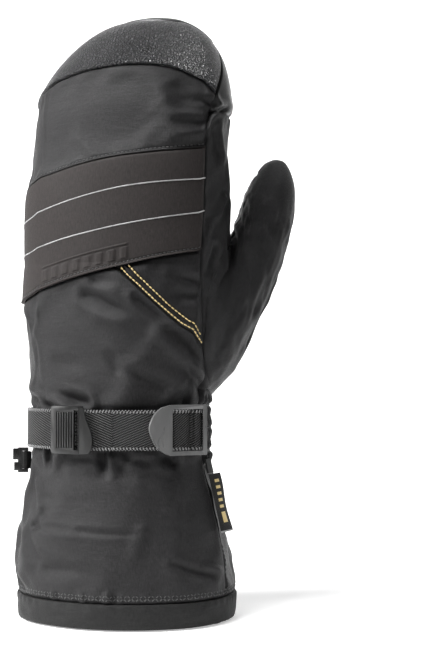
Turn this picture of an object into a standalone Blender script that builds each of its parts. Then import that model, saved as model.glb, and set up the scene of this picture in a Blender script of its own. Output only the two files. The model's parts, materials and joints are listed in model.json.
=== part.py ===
"""Left-hand insulated ski mitten with a long cuff, built up in its real layers.

It stands on its hem: +Z to the fingertips, +X to the thumb, -Y out of the back of the hand.
Lengths below are in millimetres and become metres when a mesh is made.
"""

import math

import bmesh
import bpy
from mathutils import Vector

MM = 0.001

# Overall shape of the hand and cuff. Each row: height, little-finger edge, thumb edge, side radius.
TOP = 320.0
TOP_X = 16.0
SECTIONS = (
    (0, -57.5, 58.5, 41.0),
    (14, -57.5, 59.0, 41.5),
    (29, -56.5, 58.0, 41.0),
    (47, -55.5, 55.0, 39.0),
    (67, -53.0, 49.5, 34.0),
    (86, -50.7, 45.0, 29.0),
    (114, -50.7, 45.0, 29.0),
    (126, -52.0, 49.5, 28.5),
    (144, -53.0, 53.5, 28.0),
    (169, -54.0, 55.5, 27.5),
    (194, -55.0, 56.5, 27.0),
    (219, -54.8, 57.0, 26.0),
    (244, -53.0, 57.0, 24.5),
)
LITTLE_DOME = (246.0, 2.0)  # where the outline starts to round over, and how square the curve is
THUMB_DOME = (272.0, 2.3)
DEPTH_DOME = (229.0, 2.2)
BACK_CROWN = math.radians(30)  # half angle of the wide arc across the back of the hand
PALM_CROWN = math.radians(15)

# Stations run round the mitten in degrees: 0 thumb side, 90 back, 180 little finger, 270 palm.
SEAM_THUMB = 54.0
SEAM_LITTLE = 172.0
SEAM_PALM_LITTLE = 240.0
SEAM_PALM_THUMB = -45.0
SEAM_LINE = ((0, 22), (94, 22), (122, 32), (144, 47), (179, 54), (256, 54), (277, 42), (300, 14))
HOLE = (-33.0, 8.0, 134.0, 176.0)  # thumb opening: stations, then heights
RING = (-45, -33, -20, -6, 8, 23, 38, 54, 62, 72, 90, 108, 126, 142, 157, 172, 187, 202, 217, 228,
        240, 258, 276, 294)

# Seams that run across the back: pairs of station and height.
CAP_SEAM = ((54, 279), (62, 286.5), (74, 293), (92, 294.6), (110, 290), (127, 284), (172, 275))
BAND_TOP = ((54, 250.5), (72, 248.8), (91, 243), (108, 237), (134, 230), (172, 225))
BAND_BOTTOM = ((54, 194), (70, 191.2), (90, 186), (108, 182), (126, 176), (172, 169))
PIPING_UPPER = ((54, 233), (78, 229), (100, 223), (129, 212.5), (172, 206))
PIPING_LOWER = ((54, 216.5), (80, 210.5), (101, 205), (129, 196), (172, 190))
DIAGONAL = ((54, 146), (66, 158.7), (74.5, 170), (81, 177), (88, 186.4))
WEDGE_END = 84.0

# Heights of the level seams, and of the rows of points between them.
HEM_TOP = 13.8
STRAP_MID = 100.0
PALM_CUFF_TOP = 80.0
WRIST_TOP = 120.0
LITTLE_WRAP = 277.0
THUMB_WRAP = 266.0
CROWN = 306.0  # where the palm leather gives way to the strip over the fingertips
CROWN_BACK = 313.0  # the same for the fingertip cap on the back
CUFF_ROWS = [38, 60, 86]
WRIST_ROWS = [86, 100, 107, 114]
SIDE_ROWS = [127, 134, 141, 148, 162, 176, 199, 229, 249]
TIP_ROWS = [285.8, 292.4, 299]
CROWN_ROWS = [CROWN_BACK, 317.5, 319.6, TOP]
INNER_ROWS = [38, 60, 86, 114, 124, 134, 141, 154, 176, 209, 244, 269, 292]

# Layer depths, measured inwards from the outer surface.
GAP = 0.3
SHELL = (0.0, 1.0)
BAND_SKIN = (-1.5, -0.5)
FOAM = (-0.2, 1.0)
PIPING = (-2.3, -1.8)
WRIST_SKIN = (-0.9, -0.1)
ELASTIC = (0.2, 1.0)
ELASTIC_ROWS = (("wrist_elastic_lower", 87.0, 92.0), ("wrist_elastic_upper", 102.0, 107.0))
MEMBRANE = (1.8, 2.3)
INSULATION = (3.1, 6.0)
LINING = (6.8, 7.6)
HEM = (-0.9, 8.4)

# Thumb: height, x, y of its centre line, half width across and half depth.
THUMB = (
    (112, 22.0, 3.0, 22.0, 28.0),
    (129, 35.0, 6.0, 21.0, 27.0),
    (144, 44.0, 9.5, 19.0, 24.0),
    (164, 54.5, 15.0, 17.0, 20.5),
    (187, 64.6, 20.5, 16.2, 18.0),
    (222, 74.6, 25.5, 14.8, 15.2),
    (246, 79.0, 27.0, 12.6, 13.2),
)
THUMB_TIP = 0.80  # share of the centre line where the tip starts to round over
THUMB_CAP = 0.83  # share where the leather of the tip starts, on the palm side
THUMB_SHELL = (0.0, 1.0)
THUMB_INSULATION = (2.0, 4.0)
THUMB_LINING = (4.9, 5.7)
THUMB_AXIS = (28.0, 0.0)  # the thumb swings about this upright line inside the side of the hand
THUMB_SOCKET = 29.4  # radius of the round face where the thumb meets the hand
THUMB_SIDE = math.radians(66)  # how far round towards the palm the thumb's base reaches

# Wrist strap, held in millimetres outward from the shell.
WEBBING_HALF = 10.0
WEBBING_UNDER = (1.5, 2.7)
WEBBING_OVER = (3.0, 4.2)
KEEPER_ANGLE = -14.0  # degrees round the wide back arc, from straight back towards the little finger
KEEPER_HALF_HEIGHT = 12.2
BUCKLE_ANGLE = math.radians(-57)
BUCKLE_LENGTH = 31.0
BUCKLE_HEIGHT = 26.0
BUCKLE_THICK = 2.4
BUCKLE_STAND_OFF = 4.6
BAR_RADIUS = 1.1

# Small fittings.
CLIP_HEIGHT = 82.0
CLIP_BAR = 1.0
TAG_WIDTH = 10.0
TAG_LENGTH = 30.0
TAG_TOP = 76.0

COLOURS = {
    "shell": ((0.045, 0.045, 0.048), 0.75, 0.0),
    "leather": ((0.02, 0.02, 0.021), 0.42, 0.0),
    "smooth": ((0.016, 0.016, 0.017), 0.3, 0.0),
    "band": ((0.05, 0.044, 0.041), 0.7, 0.0),
    "suede": ((0.012, 0.012, 0.012), 0.95, 0.0),
    "silver": ((0.4, 0.4, 0.41), 0.35, 0.6),
    "foam": ((0.3, 0.3, 0.3), 0.9, 0.0),
    "membrane": ((0.75, 0.75, 0.73), 0.5, 0.0),
    "fill": ((0.8, 0.8, 0.78), 0.95, 0.0),
    "lining": ((0.06, 0.06, 0.065), 0.95, 0.0),
    "webbing": ((0.02, 0.02, 0.02), 0.6, 0.0),
    "plastic": ((0.03, 0.03, 0.032), 0.35, 0.0),
    "grey": ((0.09, 0.09, 0.095), 0.4, 0.0),
    "tag": ((0.02, 0.018, 0.012), 0.8, 0.0),
}


def along(table, x, column=1):
    """The value at x in a table of rows that start with x, eased between rows."""
    if x <= table[0][0]:
        return table[0][column]
    for low, high in zip(table, table[1:]):
        if x <= high[0]:
            t = (x - low[0]) / (high[0] - low[0])
            t = 0.6 * t + 0.4 * t * t * (3 - 2 * t)
            return low[column] + t * (high[column] - low[column])
    return table[-1][column]


def round_over(z, start, power, top):
    """The share of full size left at height z, from 1 at start down to 0 at the top."""
    if z <= start:
        return 1.0
    t = min(1.0, (z - start) / (top - start))
    return (1 - t**power) ** (1 / power)


def seam_station(z):
    """The true station of the thumb-side seam, which leans forward at the hand and back at the tip."""
    return along(SEAM_LINE, z)


def warped(station, z):
    station = (station + 60) % 360 - 60
    seam = seam_station(z)
    if station <= SEAM_THUMB:
        return -60 + (station + 60) * (seam + 60) / (SEAM_THUMB + 60)
    if station < 150:
        return seam + (station - SEAM_THUMB) * (150 - seam) / (150 - SEAM_THUMB)
    return station


def outline(z, inset):
    """Little-finger edge, thumb edge and side radius at this height, for a layer at this depth."""
    top = TOP - inset
    left = along(SECTIONS, z, 1) + inset
    right = along(SECTIONS, z, 2) - inset
    radius = along(SECTIONS, z, 3) - inset
    left = TOP_X + (left - TOP_X) * round_over(z, *LITTLE_DOME, top)
    right = TOP_X + (right - TOP_X) * round_over(z, *THUMB_DOME, top)
    radius = radius * round_over(z, *DEPTH_DOME, top)
    return left, right, min(radius, 0.48 * (right - left))


def arc_of(station, z, inset=0.0):
    """Centre, radius and direction of the arc that this station lies on."""
    left, right, radius = outline(z, inset)
    middle = (left + right) / 2
    half = (right - left) / 2 - radius
    quarter = math.pi / 2
    if station <= 60:
        span = math.pi - BACK_CROWN - PALM_CROWN
        return (middle + half, 0.0), radius, quarter - PALM_CROWN - (station + 60) / 120 * span
    if station <= 120:
        wide = half / math.sin(BACK_CROWN)
        turn = -(quarter - BACK_CROWN) - (station - 60) / 60 * 2 * BACK_CROWN
        return (middle, half / math.tan(BACK_CROWN)), radius + wide, turn
    if station <= 240:
        span = math.pi - BACK_CROWN - PALM_CROWN
        return (middle - half, 0.0), radius, -(quarter + BACK_CROWN) - (station - 120) / 120 * span
    wide = half / math.sin(PALM_CROWN)
    turn = quarter + PALM_CROWN - (station - 240) / 60 * 2 * PALM_CROWN
    return (middle, -half / math.tan(PALM_CROWN)), radius + wide, turn


def surface(station, z, inset):
    """A point of the hand and cuff. Above the knuckles a deeper layer also stops lower."""
    if z > DEPTH_DOME[0]:
        start = DEPTH_DOME[0]
        z = start + (z - start) * (TOP - max(inset, 0) - start) / (TOP - start)
    centre, radius, angle = arc_of(warped(station, z), z, max(inset, 0))
    radius -= min(inset, 0)
    return Vector((centre[0] + radius * math.cos(angle), centre[1] + radius * math.sin(angle), z))


def material(kind):
    found = bpy.data.materials.get(kind)
    if found:
        return found
    colour, roughness, metallic = COLOURS[kind]
    made = bpy.data.materials.new(kind)
    made.use_nodes = True
    made.diffuse_color = (*colour, 1)
    shader = made.node_tree.nodes["Principled BSDF"]
    shader.inputs["Base Color"].default_value = (*colour, 1)
    shader.inputs["Roughness"].default_value = roughness
    shader.inputs["Metallic"].default_value = metallic
    return made


def add_object(name, mesh_data, kind, pivot=(0, 0, 0)):
    """Turns a bmesh in millimetres into a named object in metres, with its origin at the pivot."""
    bmesh.ops.recalc_face_normals(mesh_data, faces=mesh_data.faces[:])
    if mesh_data.calc_volume(signed=True) < 0:
        bmesh.ops.reverse_faces(mesh_data, faces=mesh_data.faces[:])
    bmesh.ops.triangulate(mesh_data, faces=mesh_data.faces[:])
    for vertex in mesh_data.verts:
        vertex.co = (vertex.co - Vector(pivot)) * MM
    mesh = bpy.data.meshes.new(name)
    mesh_data.to_mesh(mesh)
    mesh_data.free()
    for face in mesh.polygons:
        face.use_smooth = True
    mesh.set_sharp_from_angle(angle=math.radians(38))
    made = bpy.data.objects.new(name, mesh)
    made.location = Vector(pivot) * MM
    made.data.materials.append(material(kind))
    bpy.context.scene.collection.objects.link(made)
    return made


def thick_grid(outer, inner, keep, closed=False, pole=False):
    """A bmesh of the kept cells of a grid, between its outer and inner points.

    closed joins the last column to the first, and pole draws the last row into one point.
    """
    rows, columns = len(outer), len(outer[0])
    mesh_data = bmesh.new()
    made = {}

    def corner(side, j, i):
        i = i % columns if closed else i
        if pole and j == rows - 1:
            i = 0
        if (side, j, i) not in made:
            made[side, j, i] = mesh_data.verts.new((outer, inner)[side][j][i])
        return made[side, j, i]

    def face(*corners):
        distinct = []
        for one in corners:
            if one not in distinct:
                distinct.append(one)
        if len(distinct) > 2:
            mesh_data.faces.new(distinct)

    def kept(j, i):
        i = i % columns if closed else i
        inside = 0 <= j < rows - 1 and 0 <= i < (columns if closed else columns - 1)
        return inside and keep(j, i)

    for j in range(rows - 1):
        for i in range(columns if closed else columns - 1):
            if not kept(j, i):
                continue
            ring = ((j, i), (j, i + 1), (j + 1, i + 1), (j + 1, i))
            face(*(corner(0, *at) for at in ring))
            face(*(corner(1, *at) for at in reversed(ring)))
            sides = ((j - 1, i), (j, i + 1), (j + 1, i), (j, i - 1))
            for index, beside in enumerate(sides):
                a, b = ring[index], ring[(index + 1) % 4]
                at_pole = pole and a[0] == b[0] == rows - 1
                if not kept(*beside) and not at_pole:
                    face(corner(0, *b), corner(0, *a), corner(1, *a), corner(1, *b))
    return mesh_data


def everywhere(_row, _column):
    return True


def spread(low, high, count):
    return [low + (high - low) * i / (count - 1) for i in range(count)]


def stations_between(low, high):
    """The ring's stations between two limits, with the limits themselves at the ends."""
    around = sorted({one + 360 * turn for one in RING for turn in (-1, 0, 1)})
    return [low] + [one for one in around if low + 3 < one < high - 3] + [high]


def panel(name, kind, stations, low, high, depth, rows=6, keep=everywhere):
    """A cloth or leather panel between two seams, given as heights or as station-and-height pairs."""

    def at(edge, station):
        return edge if isinstance(edge, (int, float)) else along(edge, station)

    grids = []
    for inset in depth:
        grid = []
        for t in spread(0, 1, rows):
            row = []
            for station in stations:
                bottom, top = at(low, station) + GAP / 2, at(high, station) - GAP / 2
                row.append(surface(station, bottom + t * (top - bottom), inset))
            grid.append(row)
        grids.append(grid)
    return add_object(name, thick_grid(*grids, keep), kind)


def level_panel(name, kind, stations, heights, depth, keep=everywhere, closed=False, pole=False):
    """A panel whose rows lie at the given heights."""
    grids = [[[surface(s, z, inset) for s in stations] for z in heights] for inset in depth]
    return add_object(name, thick_grid(*grids, keep, closed, pole), kind)


def back_stations():
    return stations_between(SEAM_THUMB + 2 * GAP, SEAM_LITTLE - GAP)


def palm_side_stations():
    return stations_between(SEAM_LITTLE + GAP, SEAM_THUMB + 360 - GAP)


def in_hole(station, z):
    return HOLE[0] <= station < HOLE[1] and HOLE[2] <= z < HOLE[3]


def build_back_of_hand():
    stations = back_stations()
    cap = [stations[0] + 0.5] + stations[1:]
    panel("fingertip_cap", "leather", cap, CAP_SEAM, CROWN_BACK - GAP / 2, SHELL, 5)
    panel("upper_back_panel", "shell", stations, BAND_TOP, CAP_SEAM, SHELL, 5)
    panel("knuckle_band", "band", stations, BAND_BOTTOM, BAND_TOP, BAND_SKIN, 4)
    panel("knuckle_foam", "foam", stations, BAND_BOTTOM, BAND_TOP, FOAM, 4)
    for name, line in (("piping_upper", PIPING_UPPER), ("piping_lower", PIPING_LOWER)):
        low = [(station, z - 0.7) for station, z in line]
        high = [(station, z + 0.7) for station, z in line]
        panel(name, "silver", stations, low, high, PIPING, 2)
    wedge = [one for one in stations if one < WEDGE_END - 3] + [WEDGE_END]
    panel("wedge_panel", "shell", wedge, DIAGONAL, BAND_BOTTOM, SHELL, 4)
    top = DIAGONAL + tuple(row for row in BAND_BOTTOM if row[0] > 90)
    split = sorted(stations + [81.0, 88.0])
    panel("lower_back_panel", "shell", split, STRAP_MID, top, SHELL, 9)


def build_sides_and_palm():
    little = stations_between(SEAM_LITTLE + GAP, SEAM_PALM_LITTLE - GAP)
    rows = [WRIST_TOP + 0.2] + SIDE_ROWS
    level_panel("little_finger_gusset", "shell", little, rows + [THUMB_WRAP, LITTLE_WRAP - 0.2], SHELL)
    thumb = [-44.7, -33, -20, -6, 8, 23, 38, SEAM_THUMB - GAP]
    heights = rows + [THUMB_WRAP - 0.2]
    level_panel(
        "thumb_side_gusset", "shell", thumb, heights, SHELL,
        keep=lambda j, i: not in_hole(thumb[i], heights[j]),
    )
    palm = stations_between(SEAM_PALM_LITTLE + GAP, SEAM_PALM_THUMB + 360 - GAP)
    top = [THUMB_WRAP, LITTLE_WRAP] + TIP_ROWS + [CROWN - 0.2]
    level_panel("palm_leather", "leather", palm, rows + top, SHELL)
    build_wrap()


def build_wrap():
    """The smooth strip over the fingertips: a crown with a leg down each side."""
    legs_little = [SEAM_LITTLE + GAP, 195, 217, SEAM_PALM_LITTLE - GAP]
    legs_thumb = [SEAM_PALM_THUMB + 360 + GAP, 340, 366, 391, SEAM_THUMB + 360 - GAP]
    stations = [62, 72, 90, 108, 126, 142, 157] + legs_little + [258, 276, 294] + legs_thumb
    heights = [THUMB_WRAP + 0.2, LITTLE_WRAP + 0.2] + TIP_ROWS + [CROWN + 0.2] + CROWN_ROWS

    def keep(row, column):
        if heights[row] >= CROWN_BACK:
            return True
        on_back = not SEAM_LITTLE < stations[column] < SEAM_THUMB + 360 - 2
        if heights[row] >= CROWN and not on_back:
            return True
        on_little = SEAM_LITTLE < stations[column] < SEAM_PALM_LITTLE - 2
        on_thumb = SEAM_PALM_THUMB + 360 < stations[column] < SEAM_THUMB + 360 - 2
        return on_thumb or (on_little and heights[row] >= LITTLE_WRAP)

    level_panel("fingertip_wrap", "smooth", stations, heights, SHELL, keep, closed=True, pole=True)


def build_cuff():
    around = palm_side_stations()
    bottom = HEM_TOP + GAP / 2
    back = [bottom] + CUFF_ROWS + [STRAP_MID - GAP / 2]
    level_panel("cuff_back_panel", "shell", back_stations(), back, SHELL)
    palm = [bottom] + CUFF_ROWS[:2] + [PALM_CUFF_TOP - GAP / 2]
    level_panel("cuff_palm_panel", "shell", around, palm, SHELL)
    wrist = [PALM_CUFF_TOP + GAP / 2] + WRIST_ROWS + [WRIST_TOP - GAP / 2]
    level_panel("palm_wrist_panel", "shell", around, wrist, WRIST_SKIN)
    for name, low, high in ELASTIC_ROWS:
        level_panel(name, "webbing", around, [low, high], ELASTIC)
    section = (
        (HEM[0] + 1.2, 0.0), (HEM[0], 2.0), (HEM[0] - 0.5, 7.0), (HEM[0] + 0.4, HEM_TOP - 1.4),
        (HEM[0] + 1.6, HEM_TOP - 0.4), (HEM[1] - 1.6, HEM_TOP - 0.4), (HEM[1], HEM_TOP - 2.2),
        (HEM[1], 2.0), (HEM[1] - 1.6, 0.0),
    )
    mesh_data = bmesh.new()
    rings = []
    for station in RING:
        rings.append([mesh_data.verts.new(surface(station, z, inset)) for inset, z in section])
    for i, ring in enumerate(rings):
        beside = rings[(i + 1) % len(rings)]
        for j in range(len(section)):
            k = (j + 1) % len(section)
            mesh_data.faces.new((ring[j], beside[j], beside[k], ring[k]))
    add_object("hem_band", mesh_data, "shell")


def layer_heights(start, bottom):
    return [bottom] + [z for z in INNER_ROWS if z > start + 4] + [CROWN] + CROWN_ROWS


def bag(name, kind, depth, start):
    """A whole layer of the hand, open at its bottom edge and at the thumb opening."""
    heights = layer_heights(start, start)
    level_panel(
        name, kind, RING, heights, depth,
        keep=lambda j, i: not in_hole(RING[i], heights[j]), closed=True, pole=True,
    )


def build_inner_layers():
    bag("waterproof_membrane", "membrane", MEMBRANE, HEM_TOP + 0.2)
    bag("hand_lining", "lining", LINING, STRAP_MID + 0.2)
    cuff = [HEM_TOP + 0.2] + CUFF_ROWS + [STRAP_MID - 0.2]
    level_panel("cuff_lining", "lining", RING, cuff, LINING, closed=True)
    stations = [one for one in RING if one <= SEAM_THUMB or one >= SEAM_LITTLE]
    stations = [one + 360 for one in stations if one <= SEAM_THUMB] + [one for one in stations if one > 90]
    stations = sorted(stations)
    stations[0] += 0.4
    stations[-1] -= 0.4
    heights = [z for z in layer_heights(HEM_TOP, HEM_TOP + 0.2) if z < CROWN] + [CROWN - 0.4]
    level_panel(
        "insulation_palm", "fill", stations, heights, INSULATION,
        keep=lambda j, i: not in_hole(stations[i] - 360, heights[j]),
    )
    whole = layer_heights(HEM_TOP, HEM_TOP + 0.2)
    level_panel(
        "insulation_back", "fill", RING, whole, INSULATION,
        keep=lambda j, i: whole[j] >= CROWN or SEAM_THUMB <= RING[i] < SEAM_LITTLE,
        closed=True, pole=True,
    )


def thumb_frame(z):
    """Centre, outward direction and depth direction of the thumb at a height on its centre line."""
    centre = Vector((along(THUMB, z, 1), along(THUMB, z, 2), z))
    ahead = Vector((along(THUMB, z + 6, 1), along(THUMB, z + 6, 2), z + 6))
    behind = Vector((along(THUMB, z - 6, 1), along(THUMB, z - 6, 2), z - 6))
    if z + 6 > THUMB[-1][0]:
        ahead = Vector((centre.x + 1.0, centre.y + 0.3, z + 6))
    tangent = (ahead - behind).normalized()
    depth = Vector((0, 1, 0))
    depth = (depth - tangent * depth.dot(tangent)).normalized()
    return centre, depth.cross(tangent).normalized(), depth


def thumb_point(share, angle, inset):
    """A point of the thumb: share along its centre line, angle from outward (0) to the palm (90)."""
    low, high = THUMB[0][0], THUMB[-1][0]
    z = low + share * (high - inset - low)
    centre, across, depth = thumb_frame(z)
    size = 1.0
    if share > THUMB_TIP:
        t = (share - THUMB_TIP) / (1 - THUMB_TIP)
        size = (1 - min(1, t) ** 2.2) ** (1 / 2.2)
    wide = (along(THUMB, z, 3) - inset) * size
    deep = (along(THUMB, z, 4) - inset) * size
    return centre + across * (wide * math.cos(angle)) + depth * (deep * math.sin(angle))


def thumb_start(angle, inset):
    """Where this line of the thumb comes out of the round socket face."""
    low, high = 0.0, 0.85
    for _ in range(24):
        middle = (low + high) / 2
        point = thumb_point(middle, angle, inset)
        x, y = point.x - THUMB_AXIS[0], point.y - THUMB_AXIS[1]
        if math.hypot(x, y) < THUMB_SOCKET or math.atan2(y, x) > THUMB_SIDE:
            low = middle
        else:
            high = middle
    return high


def thumb_panel(name, kind, first, last, depth, top, count, pole=False, base=None):
    """A panel of the thumb between two angles, from the socket face or a seam up to a share."""
    closed = last - first >= 360
    angles = [math.radians(a) for a in spread(first, last, count)]
    if closed:
        angles = angles[:-1]
    steps = [0, 0.17, 0.34, 0.5, 0.67, 0.83, 1]
    if pole:
        steps = [0, 0.25, 0.5, 0.75, 0.92, 1] if base else [0, 0.16, 0.32, 0.48, 0.64, 0.8, 0.9, 0.97, 1]
    grids = []
    for inset in depth:
        starts = [thumb_start(a, inset) if base is None else base for a in angles]
        grids.append([
            [thumb_point(start + t * (top - start), a, inset) for a, start in zip(angles, starts)]
            for t in steps
        ])
    mesh_data = thick_grid(*grids, everywhere, closed, pole)
    add_object(name, mesh_data, kind, (*THUMB_AXIS, HOLE[2]))


def build_thumb():
    cap_base = THUMB_CAP + 0.004
    thumb_panel("thumb_back_panel", "shell", -150.0, -30.5, THUMB_SHELL, 1.0, 8, pole=True)
    thumb_panel("thumb_nose_wipe", "suede", -28.0, 60.5, THUMB_SHELL, THUMB_CAP, 7)
    thumb_panel("thumb_leather", "smooth", 61.5, 208.5, THUMB_SHELL, THUMB_CAP, 9)
    thumb_panel("thumb_tip_cap", "smooth", -28.0, 208.0, THUMB_SHELL, 1.0, 14, pole=True, base=cap_base)
    thumb_panel("thumb_insulation", "fill", 0, 360, THUMB_INSULATION, 1.0, 21, pole=True)
    thumb_panel("thumb_lining", "lining", 0, 360, THUMB_LINING, 1.0, 21, pole=True)


def prism(points, low, high):
    """An upright solid on a plan outline."""
    mesh_data = bmesh.new()
    bottom = [mesh_data.verts.new((x, y, low)) for x, y in points]
    top = [mesh_data.verts.new((x, y, high)) for x, y in points]
    mesh_data.faces.new(bottom)
    mesh_data.faces.new(top)
    for i in range(len(points)):
        k = (i + 1) % len(points)
        mesh_data.faces.new((bottom[i], bottom[k], top[k], top[i]))
    return mesh_data


def ribbon(path, thickness, low, high):
    """A strip of webbing on edge: it follows a plan path and has this thickness."""
    left, right = [], []
    for i, at in enumerate(path):
        before = Vector(path[max(i - 1, 0)])
        after = Vector(path[min(i + 1, len(path) - 1)])
        forward = (after - before).normalized()
        side = Vector((-forward.y, forward.x)) * thickness / 2
        left.append(Vector(at) + side)
        right.append(Vector(at) - side)
    grids = [[[(p.x, p.y, z) for p in line] for z in (low, high)] for line in (left, right)]
    return thick_grid(*grids, everywhere)


def join_solids(name, kind, solids, cutters=(), pivot=(0, 0, 0)):
    """One object from overlapping solids, less the cutters."""
    made = [add_object(f"{name}_{i}", one, kind, pivot) for i, one in enumerate(solids)]
    cuts = [add_object(f"{name}_cut_{i}", one, kind, pivot) for i, one in enumerate(cutters)]
    base = made[0]
    for others, operation in ((made[1:], "UNION"), (cuts, "DIFFERENCE")):
        for other in others:
            step = base.modifiers.new(other.name, "BOOLEAN")
            step.operation = operation
            step.solver = "EXACT"
            step.object = other
    bpy.context.view_layer.update()
    graph = bpy.context.evaluated_depsgraph_get()
    mesh = bpy.data.meshes.new_from_object(base.evaluated_get(graph))
    base.modifiers.clear()
    for other in made[1:] + cuts:
        bpy.data.objects.remove(other)
    base.data = mesh
    base.name = name
    mesh.name = name
    return base


def strap_point(angle, outward):
    """A plan point round the wrist: angle in degrees on the wide back arc, 0 straight back."""
    centre, radius, _ = arc_of(90, STRAP_MID)
    turn = math.radians(-90 + angle)
    reach = radius + outward
    return Vector((centre[0] + reach * math.cos(turn), centre[1] + reach * math.sin(turn)))


def wrist_point(station, outward):
    centre, radius, turn = arc_of(station, STRAP_MID)
    reach = radius + outward
    return Vector((centre[0] + reach * math.cos(turn), centre[1] + reach * math.sin(turn)))


def wrist_path(first, last, outward, count):
    return [wrist_point(one, outward) for one in spread(first, last, count)]


def strap_levels():
    return STRAP_MID - WEBBING_HALF, STRAP_MID + WEBBING_HALF


def build_webbing():
    low, high = strap_levels()
    under = sum(WEBBING_UNDER) / 2
    over = sum(WEBBING_OVER) / 2
    thickness = WEBBING_UNDER[1] - WEBBING_UNDER[0]
    path = [wrist_point(171.0, 0.3 + thickness / 2)] + wrist_path(164, 66, under, 15)
    add_object("wrist_webbing", ribbon(path, thickness, low, high), "webbing")
    free_end = ribbon(wrist_path(101, 72, over, 6), thickness, low, high)
    add_object("webbing_free_end", free_end, "webbing")


def keeper_axis():
    return arc_of(90, STRAP_MID)[0]


def build_keeper():
    """A ribbed plastic sleeve that slides along the webbing, with a tab over the free end."""
    radius = arc_of(90, STRAP_MID)[1]
    degree = math.degrees(1 / radius)
    inner, outer = 0.35, 5.9
    half = KEEPER_HALF_HEIGHT

    def slab(start, end, low, high, bottom, top, count=4):
        angles = spread(KEEPER_ANGLE + start * degree, KEEPER_ANGLE + end * degree, count)
        sides = [[strap_point(a, outward) for a in angles] for outward in (high, low)]
        grids = [[[(p.x, p.y, z) for p in side] for z in (bottom, top)] for side in sides]
        return thick_grid(*grids, everywhere)

    lower, upper = STRAP_MID - half, STRAP_MID + half
    solids = [slab(-11.0, 4.2, inner, outer, lower, upper, 5)]
    solids.append(slab(4.0, 11.4, 4.5, 5.6, lower + 1.6, upper - 2.6))
    for i in range(6):
        start = -9.6 + i * 2.0
        solids.append(slab(start, start + 1.0, outer - 0.5, outer + 0.6, lower + 1.0, upper - 1.0, 2))
    webbing_room = slab(-12.0, 5.0, 1.15, 4.5, STRAP_MID - 10.4, STRAP_MID + 10.4, 6)
    slot = slab(3.0, 5.0, 4.0, 7.0, lower + 2.6, upper - 2.6, 2)
    pivot = (*keeper_axis(), STRAP_MID)
    join_solids("strap_keeper", "plastic", solids, [webbing_room, slot], pivot)


def buckle_frame():
    """Centre of the ladder lock with its along and outward directions, in plan."""
    centre, radius, _ = arc_of(60, STRAP_MID)
    out = Vector((math.cos(BUCKLE_ANGLE), math.sin(BUCKLE_ANGLE)))
    return Vector(centre) + out * (radius + BUCKLE_STAND_OFF), Vector((-out.y, out.x)), out


def in_buckle(t, n):
    middle, forward, out = buckle_frame()
    return middle + forward * t + out * n


def buckle_block(t0, t1, n0, n1, low, high):
    corners = [in_buckle(t0, n0), in_buckle(t1, n0), in_buckle(t1, n1), in_buckle(t0, n1)]
    return prism([(p.x, p.y) for p in corners], STRAP_MID + low, STRAP_MID + high)


def round_bar(t, n, radius, low, high, sides=12):
    middle = in_buckle(t, n)
    points = []
    for i in range(sides):
        turn = 2 * math.pi * i / sides
        points.append((middle.x + radius * math.cos(turn), middle.y + radius * math.sin(turn)))
    return prism(points, STRAP_MID + low, STRAP_MID + high)


def buckle_pivot():
    at = in_buckle(BUCKLE_LENGTH / 2 - BAR_RADIUS, 0)
    return (at.x, at.y, STRAP_MID)


def build_ladder_lock():
    half, tall, thick = BUCKLE_LENGTH / 2, BUCKLE_HEIGHT / 2, BUCKLE_THICK / 2
    rail = 2.3
    edge = half - BAR_RADIUS
    solids = [
        buckle_block(-half + 6, edge, -thick, thick, tall - rail, tall),
        buckle_block(-half + 6, edge, -thick, thick, -tall, -tall + rail),
        buckle_block(-half + 2, -half + 9.5, -thick + 0.2, thick + 0.3, -tall + 0.3, tall - 0.3),
        buckle_block(-half, -half + 2.4, -thick + 0.4, thick + 0.1, -tall + 4.5, tall - 4.5),
        buckle_block(0.2, 3.0, -thick + 0.5, thick - 0.1, -tall + 1, tall - 1),
        round_bar(edge, 0, BAR_RADIUS, -tall + 0.4, tall - 0.4),
    ]
    join_solids("ladder_lock", "grey", solids, pivot=buckle_pivot())
    low, high = strap_levels()
    fold = [(-3.4, 2.3), (-0.4, 2.4), (3.6, 2.2), (4.4, 0.6), (4.2, -1.6), (0.5, -2.1), (-4.2, -2.1)]
    path = [in_buckle(t, n) for t, n in fold]
    folds = ribbon(path, 1.2, low + 0.3, high - 0.3)
    add_object("webbing_folds", folds, "webbing", buckle_pivot())
    reach = BAR_RADIUS + 0.95
    path = [wrist_point(37.0, 0.8), in_buckle(edge + 3.6, -3.4)]
    for degrees in range(-60, -301, -30):
        turn = math.radians(degrees)
        path.append(in_buckle(edge + reach * math.cos(turn), reach * math.sin(turn)))
    path += [in_buckle(edge + 4.2, 0.4), in_buckle(edge + 6.0, -3.4)]
    add_object("webbing_anchor_loop", ribbon(path, 1.1, low + 0.4, high - 0.4), "webbing")


def clip_axis():
    at = surface(SEAM_LITTLE - 8, CLIP_HEIGHT, 0)
    middle = arc_of(SEAM_LITTLE - 8, CLIP_HEIGHT)[0]
    out = (Vector((at.x, at.y)) - Vector(middle)).normalized()
    return Vector((at.x, at.y)) + out * 3.3, out


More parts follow.
